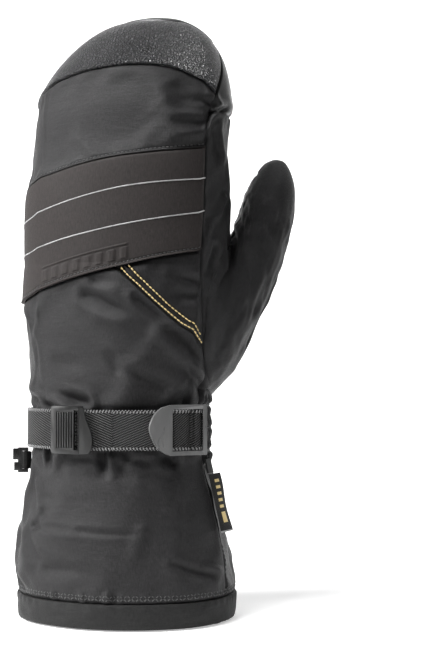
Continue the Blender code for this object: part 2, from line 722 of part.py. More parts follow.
def build_clip():
    """The pairing clip hangs on a webbing tab at the little-finger side of the wrist."""
    at, out = clip_axis()
    side = Vector((-out.y, out.x))
    path = []
    for degrees in range(-140, 141, 35):
        turn = math.radians(degrees)
        path.append(at + out * (2.0 * math.cos(turn)) + side * (2.0 * math.sin(turn)))
    path.append(at - out * 2.8 + side * 0.5)
    tab = ribbon(path, 0.8, CLIP_HEIGHT - 4.6, CLIP_HEIGHT + 4.6)
    add_object("clip_tab", tab, "webbing")

    def block(t0, t1, n0, n1, low, high):
        corners = [at + side * t0 + out * n0, at + side * t1 + out * n0]
        corners += [at + side * t1 + out * n1, at + side * t0 + out * n1]
        return prism([(p.x, p.y) for p in corners], CLIP_HEIGHT + low, CLIP_HEIGHT + high)

    bar = []
    for i in range(10):
        turn = 2 * math.pi * i / 10
        bar.append((at.x + CLIP_BAR * math.cos(turn), at.y + CLIP_BAR * math.sin(turn)))
    solids = [
        prism(bar, CLIP_HEIGHT - 7.0, CLIP_HEIGHT + 7.0),
        block(-1.2, 1.2, -1.0, 3.6, 5.2, 7.2),
        block(-1.2, 1.2, -1.0, 3.6, -7.2, -5.2),
        block(-1.2, 1.2, 3.0, 7.5, -7.2, 7.2),
        block(-1.9, 1.9, 4.6, 10.0, -5.6, -1.2),
        block(-1.9, 1.9, 4.6, 10.0, 1.2, 5.6),
    ]
    join_solids("pairing_clip", "plastic", solids, pivot=(at.x, at.y, CLIP_HEIGHT))


def tag_edge(z):
    """The tag's sewn edge follows the thumb-side seam, a little outside the shell."""
    centre, radius, turn = arc_of(warped(SEAM_THUMB + 1.5, z), z)
    reach = radius + 1.2
    return Vector((centre[0] + reach * math.cos(turn), centre[1] + reach * math.sin(turn), z))


def build_tag():
    top, bottom = tag_edge(TAG_TOP), tag_edge(TAG_TOP - TAG_LENGTH)
    down = (bottom - top).normalized()
    out = Vector((top.x, top.y, 0)) - Vector((*arc_of(30, TAG_TOP)[0], 0))
    out = (out - down * out.dot(down)).normalized()
    across = down.cross(out)
    if across.x < 0:
        across = -across
    lean = (across + out * 0.12).normalized()
    mesh_data = bmesh.new()
    thick = lean.cross(down) * 0.3
    corners = [top, top + lean * TAG_WIDTH, bottom + lean * TAG_WIDTH, bottom]
    front = [mesh_data.verts.new(p + thick + out * 0.4) for p in corners]
    back = [mesh_data.verts.new(p - thick + out * 0.4) for p in corners]
    mesh_data.faces.new(front)
    mesh_data.faces.new(back)
    for i in range(4):
        k = (i + 1) % 4
        mesh_data.faces.new((front[i], front[k], back[k], back[i]))
    add_object("woven_tag", mesh_data, "tag", top)
    stations = [SEAM_THUMB - 9, SEAM_THUMB - 4, SEAM_THUMB + 2]
    level_panel("tag_tab", "webbing", stations, [TAG_TOP + 0.8, TAG_TOP + 4, TAG_TOP + 8], (-2.4, -1.3))


def settle():
    """Stands the mitten on the floor with its box centred on the origin."""
    bpy.context.view_layer.update()
    points = []
    for one in bpy.context.scene.objects:
        points += [one.matrix_world @ vertex.co for vertex in one.data.vertices]
    middle = [(min(p[k] for p in points) + max(p[k] for p in points)) / 2 for k in range(2)]
    shift = Vector((-middle[0], -middle[1], -min(p.z for p in points)))
    for one in bpy.context.scene.objects:
        one.location += shift
    bpy.context.view_layer.update()


def main():
    for one in list(bpy.data.objects):
        bpy.data.objects.remove(one)
    build_cuff()
    build_back_of_hand()
    build_sides_and_palm()
    build_inner_layers()
    build_thumb()
    build_webbing()
    build_keeper()
    build_ladder_lock()
    build_clip()
    build_tag()
    settle()


main()
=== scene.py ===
"""Looks of the left-hand ski mitten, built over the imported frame.

Lengths are in millimetres until a mesh is made. A place on the hand is a station, in degrees round it
(0 at the thumb, 90 on the back, 180 at the little finger, 270 on the palm), and a height z above the hem.
"""

import json
import math

import bpy
import numpy as np
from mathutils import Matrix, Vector

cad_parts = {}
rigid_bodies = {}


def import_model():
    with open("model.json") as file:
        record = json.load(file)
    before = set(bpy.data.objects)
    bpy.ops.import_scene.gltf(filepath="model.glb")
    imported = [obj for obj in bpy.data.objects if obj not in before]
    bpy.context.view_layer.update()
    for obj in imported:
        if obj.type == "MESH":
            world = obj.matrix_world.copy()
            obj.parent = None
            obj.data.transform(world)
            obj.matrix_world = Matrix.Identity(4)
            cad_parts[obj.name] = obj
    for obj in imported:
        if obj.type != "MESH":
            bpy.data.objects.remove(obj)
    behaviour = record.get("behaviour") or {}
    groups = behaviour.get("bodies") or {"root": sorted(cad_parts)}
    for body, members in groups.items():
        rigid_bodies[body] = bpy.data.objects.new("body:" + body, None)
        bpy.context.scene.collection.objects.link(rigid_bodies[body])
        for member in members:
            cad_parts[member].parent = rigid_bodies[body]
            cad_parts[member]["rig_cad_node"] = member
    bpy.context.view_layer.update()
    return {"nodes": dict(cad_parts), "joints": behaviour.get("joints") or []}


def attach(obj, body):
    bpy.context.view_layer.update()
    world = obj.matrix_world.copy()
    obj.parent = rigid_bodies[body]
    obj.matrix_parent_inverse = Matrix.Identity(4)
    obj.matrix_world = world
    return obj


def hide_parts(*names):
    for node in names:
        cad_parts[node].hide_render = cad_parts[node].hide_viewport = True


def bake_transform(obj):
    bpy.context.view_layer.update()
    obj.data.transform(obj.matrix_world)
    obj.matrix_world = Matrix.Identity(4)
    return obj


MM = 0.001
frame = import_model()
JOINTS = {j["name"]: j for j in frame["joints"]}
THUMB_PIVOT = np.array([28.0, 0.0, 134.0])
SHIFT = np.array(JOINTS["thumb_swing"]["pos_m"]) / MM - THUMB_PIVOT

# ---------------------------------------------------------------- shape of the hand and cuff

TOP, TOP_X = 320.0, 16.0
# Height, left edge, right edge and the radius of the two sides.
SECTIONS = (
    (0, -57.5, 58.5, 41.0), (14, -57.5, 59.0, 41.5), (29, -56.5, 58.0, 41.0), (47, -55.5, 55.0, 39.0),
    (67, -53.0, 49.5, 34.0), (86, -50.7, 45.0, 29.0), (100, -50.7, 45.0, 29.0), (114, -50.7, 45.0, 29.0),
    (126, -52.0, 49.5, 28.5), (144, -53.0, 53.5, 28.0), (169, -54.0, 55.5, 27.5), (194, -55.0, 56.5, 27.0),
    (219, -54.8, 57.0, 26.0), (244, -53.0, 57.0, 24.5), (284, -53.0, 57.0, 24.5),
)
# Half the angle that the wide arcs of the back and the palm turn through.
BACK, PALM = math.radians(30), math.radians(15)
# Height, and where the thumb-side seam lies on the plain section there.
SEAM_LINE = ((0, 22), (94, 22), (122, 32), (144, 47), (179, 54), (256, 54), (277, 42), (300, 14), (320, 10))
THUMB_SIDE, LITTLE, PALM_LITTLE, PALM_THUMB = 54.0, 172.0, 240.0, -45.0
# The back's seams and pipings: station, height.
CAP_SEAM = (
    (54, 275.5), (62, 278), (68, 279.8), (79, 284), (88, 288), (96, 289.6), (104, 290), (112, 289),
    (119, 287), (126, 284), (151, 278), (172, 272),
)
BAND_TOP = (
    (54, 247.3), (68, 245), (80, 243), (91, 241), (103, 237.8), (117, 233.4), (144, 228.5), (172, 224),
)
BAND_BOTTOM = (
    (54, 193.4), (66, 190.8), (76, 188), (88, 183.9), (98, 180.7), (109, 176.8), (121, 172.4), (146, 168),
    (172, 166),
)
PIPING_UPPER = (
    (54, 230.3), (67, 228.5), (77, 227), (88, 224.6), (98, 221.5), (108, 218), (121, 213.2), (156, 208),
    (172, 205),
)
PIPING_LOWER = (
    (54, 213.2), (67, 210.4), (76, 208.2), (88, 205), (98, 202), (108, 199), (120, 195), (156, 191),
    (172, 189),
)
DIAGONAL = ((54, 142.4), (61, 147), (69, 154), (75, 163), (81, 173), (88, 183.9))
STRAP_MID, HEM_TOP, WRIST_LOW, WRIST_TOP, CROWN = 100.0, 13.8, 80.0, 120.0, 306.0
LITTLE_WRAP, THUMB_WRAP = 277.0, 266.0
MM_PER_STATION = 0.9  # about, at hand height


def wrapped(station):
    """The station brought into -60 to 300, which begins and ends on the palm."""
    return (station + 60) % 360 - 60


def along(table, x, column=1):
    """Smooth value at x in a table of rows that start with x."""
    keys = np.array([row[0] for row in table], float)
    values = np.array([row[column] for row in table], float)
    slopes = np.gradient(values, keys)
    x = np.clip(np.asarray(x, float), keys[0], keys[-1])
    i = np.clip(np.searchsorted(keys, x, side="right") - 1, 0, len(keys) - 2)
    span = keys[i + 1] - keys[i]
    t = (x - keys[i]) / span
    a, b = values[i], values[i + 1]
    return (
        a * (2 * t**3 - 3 * t**2 + 1) + b * (3 * t**2 - 2 * t**3)
        + slopes[i] * span * (t**3 - 2 * t**2 + t) + slopes[i + 1] * span * (t**3 - t**2)
    )


def lines(table, x):
    """Value at x on the straight lines between a table's rows."""
    return np.interp(x, [row[0] for row in table], [row[1] for row in table])


def smoothed(table):
    """The same seam with rows close enough to run in a smooth curve."""
    x = np.linspace(table[0][0], table[-1][0], 40)
    return tuple(zip(x.tolist(), along(table, x).tolist()))


CAP_SEAM, BAND_TOP, BAND_BOTTOM = smoothed(CAP_SEAM), smoothed(BAND_TOP), smoothed(BAND_BOTTOM)
PIPING_UPPER, PIPING_LOWER = smoothed(PIPING_UPPER), smoothed(PIPING_LOWER)


def round_over(z, start, power, top):
    """Share of the full size that is left at z where a form rounds over from start to its top."""
    t = np.clip((z - start) / (top - start), 0, 1)
    return (1 - t**power) ** (1 / power)


def warped(station, z):
    """Where a station lies on the plain section, so that the thumb-side seam keeps its own station."""
    s = wrapped(station)
    seam = lines(SEAM_LINE, z)
    low = -60 + (s + 60) * (seam + 60) / (THUMB_SIDE + 60)
    mid = seam + (s - THUMB_SIDE) * (150 - seam) / (150 - THUMB_SIDE)
    return np.where(s <= THUMB_SIDE, low, np.where(s < 150, mid, s))


def base(station, z, inset=0.0):
    """Points of the plain shape, as an array of xyz rows in the builder's own millimetres."""
    station, z = np.broadcast_arrays(np.asarray(station, float), np.asarray(z, float))
    deep = np.maximum(inset, 0)
    z = np.where(z > 229, 229 + (z - 229) * (TOP - deep - 229) / (TOP - 229), z)
    left = along(SECTIONS, z, 1) + deep
    right = along(SECTIONS, z, 2) - deep
    radius = along(SECTIONS, z, 3) - deep
    top = TOP - deep
    left = TOP_X + (left - TOP_X) * round_over(z, 246, 2.0, top)
    right = TOP_X + (right - TOP_X) * round_over(z, 272, 2.3, top)
    radius = np.minimum(radius * round_over(z, 229, 2.2, top), 0.48 * (right - left))
    middle, half = (left + right) / 2, (right - left) / 2 - radius
    s, q = warped(station, z), math.pi / 2
    span = math.pi - BACK - PALM
    # The thumb side's arc, the back's, the little finger side's, and last the palm's.
    arcs = [s <= 60, s <= 120, s <= 240]
    thumb_side = q - PALM - (s + 60) / 120 * span
    back = -(q - BACK) - (s - 60) / 60 * 2 * BACK
    little_side = -(q + BACK) - (s - 120) / 120 * span
    angle = np.select(arcs, [thumb_side, back, little_side], q + PALM - (s - 240) / 60 * 2 * PALM)
    cx = np.select(arcs, [middle + half, middle, middle - half], middle)
    zero = np.zeros_like(half)
    cy = np.select(arcs, [zero, half / math.tan(BACK), zero], -half / math.tan(PALM))
    wide_back, wide_palm = radius + half / math.sin(BACK), radius + half / math.sin(PALM)
    reach = np.select(arcs, [radius, wide_back, radius], wide_palm) - np.minimum(inset, 0)
    return np.stack([cx + reach * np.cos(angle), cy + reach * np.sin(angle), z], -1)


def normals(station, z):
    """Unit normals of the plain shape, pointing outward."""
    eps = 0.4
    z = np.clip(np.asarray(z, float), 0, TOP - 1.0)
    du = base(np.asarray(station) + eps, z) - base(np.asarray(station) - eps, z)
    dv = base(station, np.minimum(z + eps, TOP)) - base(station, z - eps)
    n = np.cross(dv, du)
    return n / np.maximum(np.linalg.norm(n, axis=-1, keepdims=True), 1e-9)


def hash_noise(x, y, seed):
    """Smooth value noise in about -1 to 1 on two coordinates."""
    xi, yi = np.floor(x).astype(int), np.floor(y).astype(int)
    fx, fy = x - xi, y - yi
    fx, fy = fx * fx * (3 - 2 * fx), fy * fy * (3 - 2 * fy)
    table = np.random.RandomState(seed).uniform(-1, 1, (64, 64))

    def at(a, b):
        return table[a % 64, b % 64]

    low = at(xi, yi) * (1 - fx) + at(xi + 1, yi) * fx
    high = at(xi, yi + 1) * (1 - fx) + at(xi + 1, yi + 1) * fx
    return low * (1 - fy) + high * fy


def bump(x, middle, width):
    """A bell of height 1 at the middle."""
    return np.exp(-(((x - middle) / width) ** 2))


def step(x, low, high):
    """Smooth rise from 0 at low to 1 at high."""
    t = np.clip((x - low) / (high - low), 0, 1)
    return t * t * (3 - 2 * t)


# Folds: station and height where each starts, the same where it ends, half its width, its depth.
CREASES = (
    (52, 269, 71, 271, 2, 1.9), (52, 265, 74, 267, 1.9, 1.4), (54, 262, 78, 257, 4, 0.8),
    (52, 258, 74, 249, 3, -0.7), (50, 266, 22, 270, 1.5, 1.3), (15, 221, 42, 206, 2.2, -1),
    (42, 206, 50, 190, 2, -0.7), (34, 195, 44, 181, 1.8, 0.9), (39, 255, 31, 238, 2.4, 0.6),
    (100, 169, 85, 159, 3.2, 1.5), (96, 177, 87, 176, 2.6, 0.7), (82, 167, 72, 153, 2.2, 1),
    (70, 150, 61, 134, 2.2, 1.1), (56, 121, 78, 134, 3, 1.6), (82, 122, 95, 131, 3, 0.9),
    (116, 134, 107, 134, 3.6, 0.6), (125, 111, 156, 117, 2.2, 1.6), (110, 114, 121, 118, 2.6, 1.9),
    (57, 176, 68, 179, 2.2, 0.8), (97, 158, 86, 152, 4, -0.6), (96, 136, 96, 127, 3, 0.6),
    (60, 169, 70, 170, 3, 0.6), (128, 89, 126, 81, 2, 1.5), (122, 89, 124, 78, 2.6, -1.1),
    (106, 88, 105, 78, 2, 1.5), (103, 85, 102, 74, 2.8, -0.9), (98, 89, 97, 84, 2, 1.2),
    (83, 86, 78, 81, 2.4, 1.5), (136, 72, 129, 57, 2.4, -0.9), (128, 57, 135, 50, 2.2, 0.8),
    (136, 50, 113, 50, 1.6, 0.6), (113, 50, 95, 48, 1.6, 0.55), (134, 44, 124, 35, 2.8, -0.9),
    (125, 29, 110, 30, 2.8, 0.6), (83, 33, 64, 25, 1.8, 0.7), (68, 31, 56, 26, 1.6, -0.6),
    (122, 15, 122, 19, 1.4, -0.8), (112, 14, 113, 19, 1.4, -0.8), (105, 15, 104, 20, 1.6, -0.9),
    (102, 15, 102, 19, 1.3, 0.7), (94, 50, 98, 33, 3, -0.5), (148, 21, 136, 15, 2, 0.8),
    (118, 85, 108, 86, 2.4, 0.9), (94, 85, 88, 84, 2.6, 0.8),
)


def creased(station, z):
    """Folds of the cloth: each runs from one place to another and is strongest where it starts."""
    out = np.zeros(station.shape)
    for u0, z0, u1, z1, width, depth in CREASES:
        u, level = (u0 + u1) / 2, (z0 + z1) / 2
        scale = 0.5 * np.linalg.norm(base(u + 1, level) - base(u - 1, level))
        x, y = (station - u0) * scale, z - z0
        dx, dy = (u1 - u0) * scale, float(z1 - z0)
        share = np.clip((x * dx + y * dy) / (dx * dx + dy * dy), 0, 1)
        away = np.hypot(x - share * dx, y - share * dy)
        strength = 1.35 * depth * np.minimum(1, (1.08 - share) / 0.5)
        out -= strength * (bump(away, 0, width) - 0.4 * bump(away, 2.0 * width, width))
    return out


def padding(station, z):
    """How far the cloth stands out from the plain shape, before any simulation."""
    s = wrapped(station)
    back = step(s, 46, 66) * step(-s, -190, -165)
    palm = 1 - step(s, 40, 62) * step(-s, -200, -175)
    below = np.clip((88 - z) / 74, 0, 1)
    low = np.clip((z - 110) / 76, 0, 1)
    high = np.clip((z - 250) / 46, 0, 1)
    full = 2.6 * np.sin(math.pi * low) ** 0.8 + 1.3 * np.sin(math.pi * below) ** 0.8
    out = back * (full + 1.0 * np.sin(math.pi * high))
    out += palm * 0.8 * np.sin(math.pi * below) ** 0.8
    pleat = np.sin(np.radians(s) * 24 + 1.8 * hash_noise(s / 9, z / 40, 3))
    pleat = pleat * (0.6 + 0.5 * hash_noise(s / 14, z / 30, 5))
    near = np.exp(-np.maximum(z - 111, 0) / 10) * (z > 110) + np.exp(-np.maximum(89 - z, 0) / 13) * (z < 90)
    out += back * near * 0.8 * pleat
    out -= back * 1.0 * step(z, 86, 91) * step(-z, -114, -109)
    rough = hash_noise(s / 24 + 7, z / 15, 11) * 0.8 + hash_noise(s / 10, z / 8 + 3, 12) * 0.3
    cuff = step(-z, -90, -78) * step(z, 13.5, 26)
    hand = step(z, 114, 130) * step(-z, -176, -154)
    sides = (1 - back) * (1 - palm_leather_mask(s)) * step(z, 176, 190) * step(-z, -292, -270)
    upper = back * step(z, 240, 256) * step(-z, -290, -278)
    out += (cuff * 0.9 + back * hand * 0.9 + sides * 0.9 + upper * 0.5) * rough
    out += palm_leather_mask(s) * step(z, 125, 150) * step(-z, -306, -280) * palm_folds(s, z)
    return out + creased(s, z)


def palm_leather_mask(s):
    """1 on the palm leather, 0 on the rest of the hand."""
    return 1 - step(s, -52, -40) * step(-s, -244, -236)


def palm_folds(s, z):
    """The palm leather sags into a few broad soft folds."""
    across = hash_noise(s / 30 + 2, z / 22, 51) * 1.6 + hash_noise(s / 13, z / 12 + 5, 52) * 0.6
    crease = np.sin(z / 8.5 + 1.3 * np.sin(np.radians(s) * 3)) * bump(z, 205, 26) * 0.7
    return across + crease


# Filled by simulate(): how far each place moved, and the heights of its rows.
SIM = {}


def skin(station, z, out=0.0):
    """The finished outer surface, out millimetres proud of it."""
    station, z = np.broadcast_arrays(np.asarray(station, float), np.asarray(z, float))
    n = normals(station, z)
    points = base(station, z) + n * (padding(station, z) + out)[..., None]
    if SIM:
        points = points + moved(station, z)
    return points


def moved(station, z):
    """How far the simulated cloth moved at these places."""
    field, rows, count = SIM["field"], SIM["rows"], SIM["field"].shape[1]
    u = ((station + 60) % 360) / 360 * count
    i = np.floor(u).astype(int)
    fu = (u - i)[..., None]
    zc = np.clip(z, rows[0], rows[-1])
    j = np.clip(np.searchsorted(rows, zc) - 1, 0, len(rows) - 2)
    fz = ((zc - rows[j]) / (rows[j + 1] - rows[j]))[..., None]
    a, b = i % count, (i + 1) % count
    low = field[j, a] * (1 - fu) + field[j, b] * fu
    high = field[j + 1, a] * (1 - fu) + field[j + 1, b] * fu
    return low * (1 - fz) + high * fz


# ---------------------------------------------------------------- thumb

# The thumb's middle line and half sizes: height, x, y, half across, half deep.
THUMB = (
    (112, 22.0, 3.0, 22.0, 28.0), (129, 35.0, 6.0, 21.0, 27.0), (144, 44.0, 9.5, 19.0, 24.0),
    (164, 54.5, 15.0, 17.0, 20.5), (187, 64.6, 20.5, 16.2, 18.0), (222, 74.6, 25.5, 14.8, 15.2),
    (246, 79.0, 27.0, 12.6, 13.2),
)
# The seam round the thumb's base: angle round the thumb, station, height.
LOOP = (
    (-180, -4, 196), (-155, 22, 190), (-125, 43, 173), (-90, 50.5, 153), (-60, 52.5, 136), (-30, 44, 122),
    (0, 8, 116), (30, -30, 118), (60, -58, 127), (90, -70, 142), (120, -58, 164), (150, -36, 185),
    (180, -4, 196),
)


THUMB_LOW, THUMB_LONG = 112, 134
JOINED = 0.3  # up to here along the thumb it is still growing out of the hand


def thumb_tube(share, angle, out=0.0):
    """A point of the plain thumb, an oval tube with a round tip."""
    share, angle = np.broadcast_arrays(np.asarray(share, float), np.asarray(angle, float))
    z = THUMB_LOW + share * THUMB_LONG
    centre = np.stack([along(THUMB, z, 1), along(THUMB, z, 2), z], -1)
    ahead = np.stack([along(THUMB, z + 3, 1), along(THUMB, z + 3, 2), np.minimum(z + 3, 249)], -1)
    behind = np.stack([along(THUMB, z - 3, 1), along(THUMB, z - 3, 2), z - 3], -1)
    tangent = ahead - behind
    tangent /= np.linalg.norm(tangent, axis=-1, keepdims=True)
    depth = np.array([0.0, 1.0, 0.0]) - tangent * tangent[..., 1:2]
    depth /= np.linalg.norm(depth, axis=-1, keepdims=True)
    across = np.cross(depth, tangent)
    t = np.clip((share - 0.78) / 0.22, 0, 1)
    size = (1 - t**2.3) ** (1 / 2.3)
    wide = (along(THUMB, z, 3) + out) * size
    deep = (along(THUMB, z, 4) + out) * size
    return centre + across * (wide * np.cos(angle))[..., None] + depth * (deep * np.sin(angle))[..., None]


def thumb_skin(t, degrees, out=0.0):
    """A point of the finished thumb: t from the base seam (0) to the tip (1)."""
    t, degrees = np.broadcast_arrays(np.asarray(t, float), np.asarray(degrees, float))
    d = (degrees + 180) % 360 - 180
    u, z = along(LOOP, d, 1), along(LOOP, d, 2)
    start = skin(u, z, -0.8)
    join = 0.30 + 0.36 * (1 - np.cos(np.radians(d))) / 2
    angle = np.radians(d)
    share = join + np.clip((t - JOINED) / (1 - JOINED), 0, 1) * (1 - join)
    tube = thumb_tube(share, angle, out)
    tip = thumb_tube(join, angle, out)
    ahead = (thumb_tube(join + 0.02, angle, out) - tip) / 0.02
    slope = ahead * ((1 - join) / 0.7 * 0.3)[..., None]
    leave = normals(u, z) * 9.0 + np.array([0, 0, 7.0])
    s = np.clip(t / JOINED, 0, 1)[..., None]
    blend = (
        start * (2 * s**3 - 3 * s**2 + 1) + tip * (3 * s**2 - 2 * s**3)
        + leave * (s**3 - 2 * s**2 + s) * 1.4 + slope * (s**3 - s**2)
    )
    points = np.where(t[..., None] < JOINED, blend, tube)
    wave = hash_noise(d / 16 + 40, t * 15, 31) * 0.9 + hash_noise(d / 8 + 9, t * 26, 33) * 0.35
    fade = step(t, 0.02, 0.12) * step(-t, -0.85, -0.7)
    crease = np.sin(t * 46 + 0.8 * np.sin(angle * 2)) * bump(d, -150, 55) * bump(t, 0.24, 0.1) * 1.1
    height = points[..., 2]
    ray = points - np.stack([along(THUMB, height, 1), along(THUMB, height, 2), height], -1)
    ray /= np.maximum(np.linalg.norm(ray, axis=-1, keepdims=True), 1e-6)
    return points + ray * (wave * fade + crease)[..., None]


# ---------------------------------------------------------------- meshes


def world(points):
    return (np.asarray(points, float) + SHIFT) * MM


def shown_name(name):
    """A piece that stands for a solid of the same name has _look after it."""
    return f"{name}_look" if name in frame["nodes"] else name


def make(name, verts, faces, material, body="mitten", uv=None):
    """A smooth mesh piece that rides on this body, or on none yet."""
    mesh = bpy.data.meshes.new(name)
    mesh.from_pydata([tuple(v) for v in verts], [], [tuple(int(i) for i in f) for f in faces])
    if uv is not None:
        layer = mesh.uv_layers.new(name="UVMap")
        index = np.zeros(len(mesh.loops), int)
        mesh.loops.foreach_get("vertex_index", index)
        layer.data.foreach_set("uv", np.asarray(uv, np.float32)[index].ravel())
    mesh.polygons.foreach_set("use_smooth", [True] * len(mesh.polygons))
    mesh.update()
    made = bpy.data.objects.new(shown_name(name), mesh)
    bpy.context.scene.collection.objects.link(made)
    made.data.materials.append(material)
    if body:
        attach(made, body)
    return made


def grid_faces(rows, columns, closed=False, keep=None):
    faces = []
    for j in range(rows - 1):
        for i in range(columns if closed else columns - 1):
            k = (i + 1) % columns
            if keep is None or keep[j, i]:
                faces.append((j * columns + i, j * columns + k, (j + 1) * columns + k, (j + 1) * columns + i))
    return faces


def grid(name, points, material, body="mitten", closed=False, keep=None, uv=None):
    rows, columns = points.shape[:2]
    flat = None if uv is None else uv.reshape(-1, 2)
    faces = grid_faces(rows, columns, closed, keep)
    return make(name, world(points.reshape(-1, 3)), faces, material, body, flat)


def edged(count):
    """Positions from 0 to 1 that crowd towards both ends."""
    t = np.linspace(0, 1, count)
    crowd = 0.5 - 0.5 * np.cos(math.pi * t)
    return 0.55 * crowd + 0.45 * t


def seam_drop(distance):
    """How far a panel dips beside its seam, in millimetres."""
    return -1.1 * np.exp(-((distance / 1.0) ** 2)) - 0.35 * np.exp(-((distance / 4.5) ** 2))


def lap_lift(distance):
    """A panel that lies over its neighbour: its edge stands proud, with a groove along its topstitching."""
    return 0.45 * np.exp(-((distance / 0.7) ** 2)) - 0.32 * np.exp(-(((distance - 1.3) / 0.55) ** 2))


def pressed_bars(u, z):
    """A plain row of raised bars pressed into the lower corner of the knuckle band."""
    middle = lines(BAND_BOTTOM, u) + 6.0
    tall = step(3.2 - np.abs(z - middle), 0.0, 0.5)
    row = np.zeros_like(u)
    for start in (84, 88.4, 92.8, 97.2, 101.6, 106, 110.4, 114.8):
        row += step(u, start, start + 0.5) * step(-u, -start - 2.9, -start - 2.4)
    rule = step(u, 84, 84.6) * step(-u, -117.8, -117.2) * step(0.5 - np.abs(z - middle - 4.4), 0.0, 0.35)
    return 0.45 * (row * tall + rule)


def edge_distances(plain):
    """How far each point of a grid is from its left edge and from its lower edge, along the grid."""
    across = np.linalg.norm(np.diff(plain, axis=1, prepend=plain[:, :1]), axis=-1)
    tall = np.linalg.norm(np.diff(plain, axis=0, prepend=plain[:1]), axis=-1)
    return np.cumsum(across, axis=1), np.cumsum(tall, axis=0)


def panel(
    name, material, stations, low, high, rows, columns, nodes=(), out=0.0, opens=(), laps=(), keep=None,
    relief=None,
):
    """A sewn panel between two seams, which dips at its edges, or laps over, and turns in under them."""
    u = stations[0] + (stations[1] - stations[0]) * edged(columns)
    v = edged(rows)
    bottom = lines(low, u) if isinstance(low, tuple) else np.full_like(u, low)
    top = lines(high, u) if isinstance(high, tuple) else np.full_like(u, high)
    uu = np.broadcast_to(u, (rows, columns))
    zz = bottom + v[:, None] * (top - bottom)
    across, tall = edge_distances(base(uu, zz))
    drop = np.zeros_like(across)
    reaches = {"left": across, "right": across[:, -1:] - across, "low": tall, "high": tall[-1:] - tall}
    for side, reach in reaches.items():
        if side in laps:
            drop += lap_lift(reach)
        elif side not in opens:
            drop += seam_drop(reach)
    drop = np.maximum(drop, -1.5)
    if relief:
        drop = drop + relief(uu, zz)
    points = skin(uu, zz, drop + out)
    uv = np.stack([across + 40 * stations[0], tall + 300], -1) * MM
    points, uv = tuck(points, uv, skin(uu, zz, drop + out - 2.2))
    made = grid(name, points, material, "mitten", keep=keep, uv=uv)
    if nodes:
        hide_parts(*nodes)
    return made


def tuck(points, uv, deeper):
    """Adds a border that turns in under the seam."""
    wide = np.concatenate([deeper[:, :1], points, deeper[:, -1:]], 1)
    first = np.concatenate([deeper[:1, :1], deeper[:1], deeper[:1, -1:]], 1)
    last = np.concatenate([deeper[-1:, :1], deeper[-1:], deeper[-1:, -1:]], 1)
    uv = np.concatenate([uv[:, :1], uv, uv[:, -1:]], 1)
    uv = np.concatenate([uv[:1], uv, uv[-1:]], 0)
    return np.concatenate([first, wide, last], 0), uv


def tube(name, line, radius, material, up):
    """A round cord along a line of points."""
    line = np.asarray(line, float)
    ahead = np.gradient(line, axis=0)
    ahead /= np.maximum(np.linalg.norm(ahead, axis=1, keepdims=True), 1e-9)
    side = np.cross(ahead, up)
    side /= np.maximum(np.linalg.norm(side, axis=1, keepdims=True), 1e-9)
    top = np.cross(side, ahead)
    angle = np.linspace(0, 2 * math.pi, 8, endpoint=False)[:, None]
    ring = line[:, None] + radius * (side[:, None] * np.cos(angle) + top[:, None] * np.sin(angle))
    return grid(name, ring, material, closed=True)


def stitches(
    name, line, material, normal, pitch, length, radius, body="mitten", lift=0.1, slant=0.0, zigzag=True
):
    """A row of real thread stitches along a line of points, each a small capsule."""
    line = np.asarray(line, float)
    steps = np.concatenate([[0], np.cumsum(np.linalg.norm(np.diff(line, axis=0), axis=1))])
    count = max(1, int(steps[-1] / pitch))
    verts, faces = [], []
    sides, sections = 6, (-0.5, -0.42, -0.2, 0.2, 0.42, 0.5)
    grow = (0.35, 0.8, 1.0, 1.0, 0.8, 0.35)
    for k in range(count):
        mid = (k + 0.5) * steps[-1] / count
        at = np.array([np.interp(mid, steps, line[:, c]) for c in range(3)])
        a = np.array([np.interp(mid - 0.6, steps, line[:, c]) for c in range(3)])
        b = np.array([np.interp(mid + 0.6, steps, line[:, c]) for c in range(3)])
        n = np.array([np.interp(mid, steps, normal[:, c]) for c in range(3)])
        n /= np.linalg.norm(n)
        t = (b - a) / max(np.linalg.norm(b - a), 1e-9)
        w = np.cross(t, n)
        if slant:
            t = t * math.cos(slant) + w * math.sin(slant) * (1 if k % 2 or not zigzag else -1)
            w = np.cross(t, n)
        first = len(verts)
        for s, g in zip(sections, grow):
            dip = -0.32 * (2 * abs(s)) ** 4
            for i in range(sides):
                angle = 2 * math.pi * i / sides
                spoke = (w * math.cos(angle) + n * math.sin(angle)) * radius * g
                verts.append(at + t * (s * length) + spoke + n * (lift + dip))
        for face in grid_faces(len(sections), sides, closed=True):
            faces.append(tuple(first + i for i in face))
        faces.append(tuple(first + i for i in reversed(range(sides))))
        faces.append(tuple(first + (len(sections) - 1) * sides + i for i in range(sides)))
    return make(name, world(verts), faces, material, body)


def seam_points(table, first, last, count, out):
    """A line along a seam that runs round the hand."""
    u = np.linspace(first, last, count)
    z = lines(table, u)
    return skin(u, z, out), normals(u, z)


def side_points(station, low, high, count, out):
    """A line up the hand at one station."""
    z = np.linspace(low, high, count)
    u = np.full(count, float(station))
    return skin(u, z, out), normals(u, z)


# ---------------------------------------------------------------- materials


def new_material(name):
    made = bpy.data.materials.new(name)
    made.use_nodes = True
    tree = made.node_tree
    tree.nodes.clear()
    out = tree.nodes.new("ShaderNodeOutputMaterial")
    shader = tree.nodes.new("ShaderNodeBsdfPrincipled")
    tree.links.new(shader.outputs[0], out.inputs[0])
    return made, tree, shader


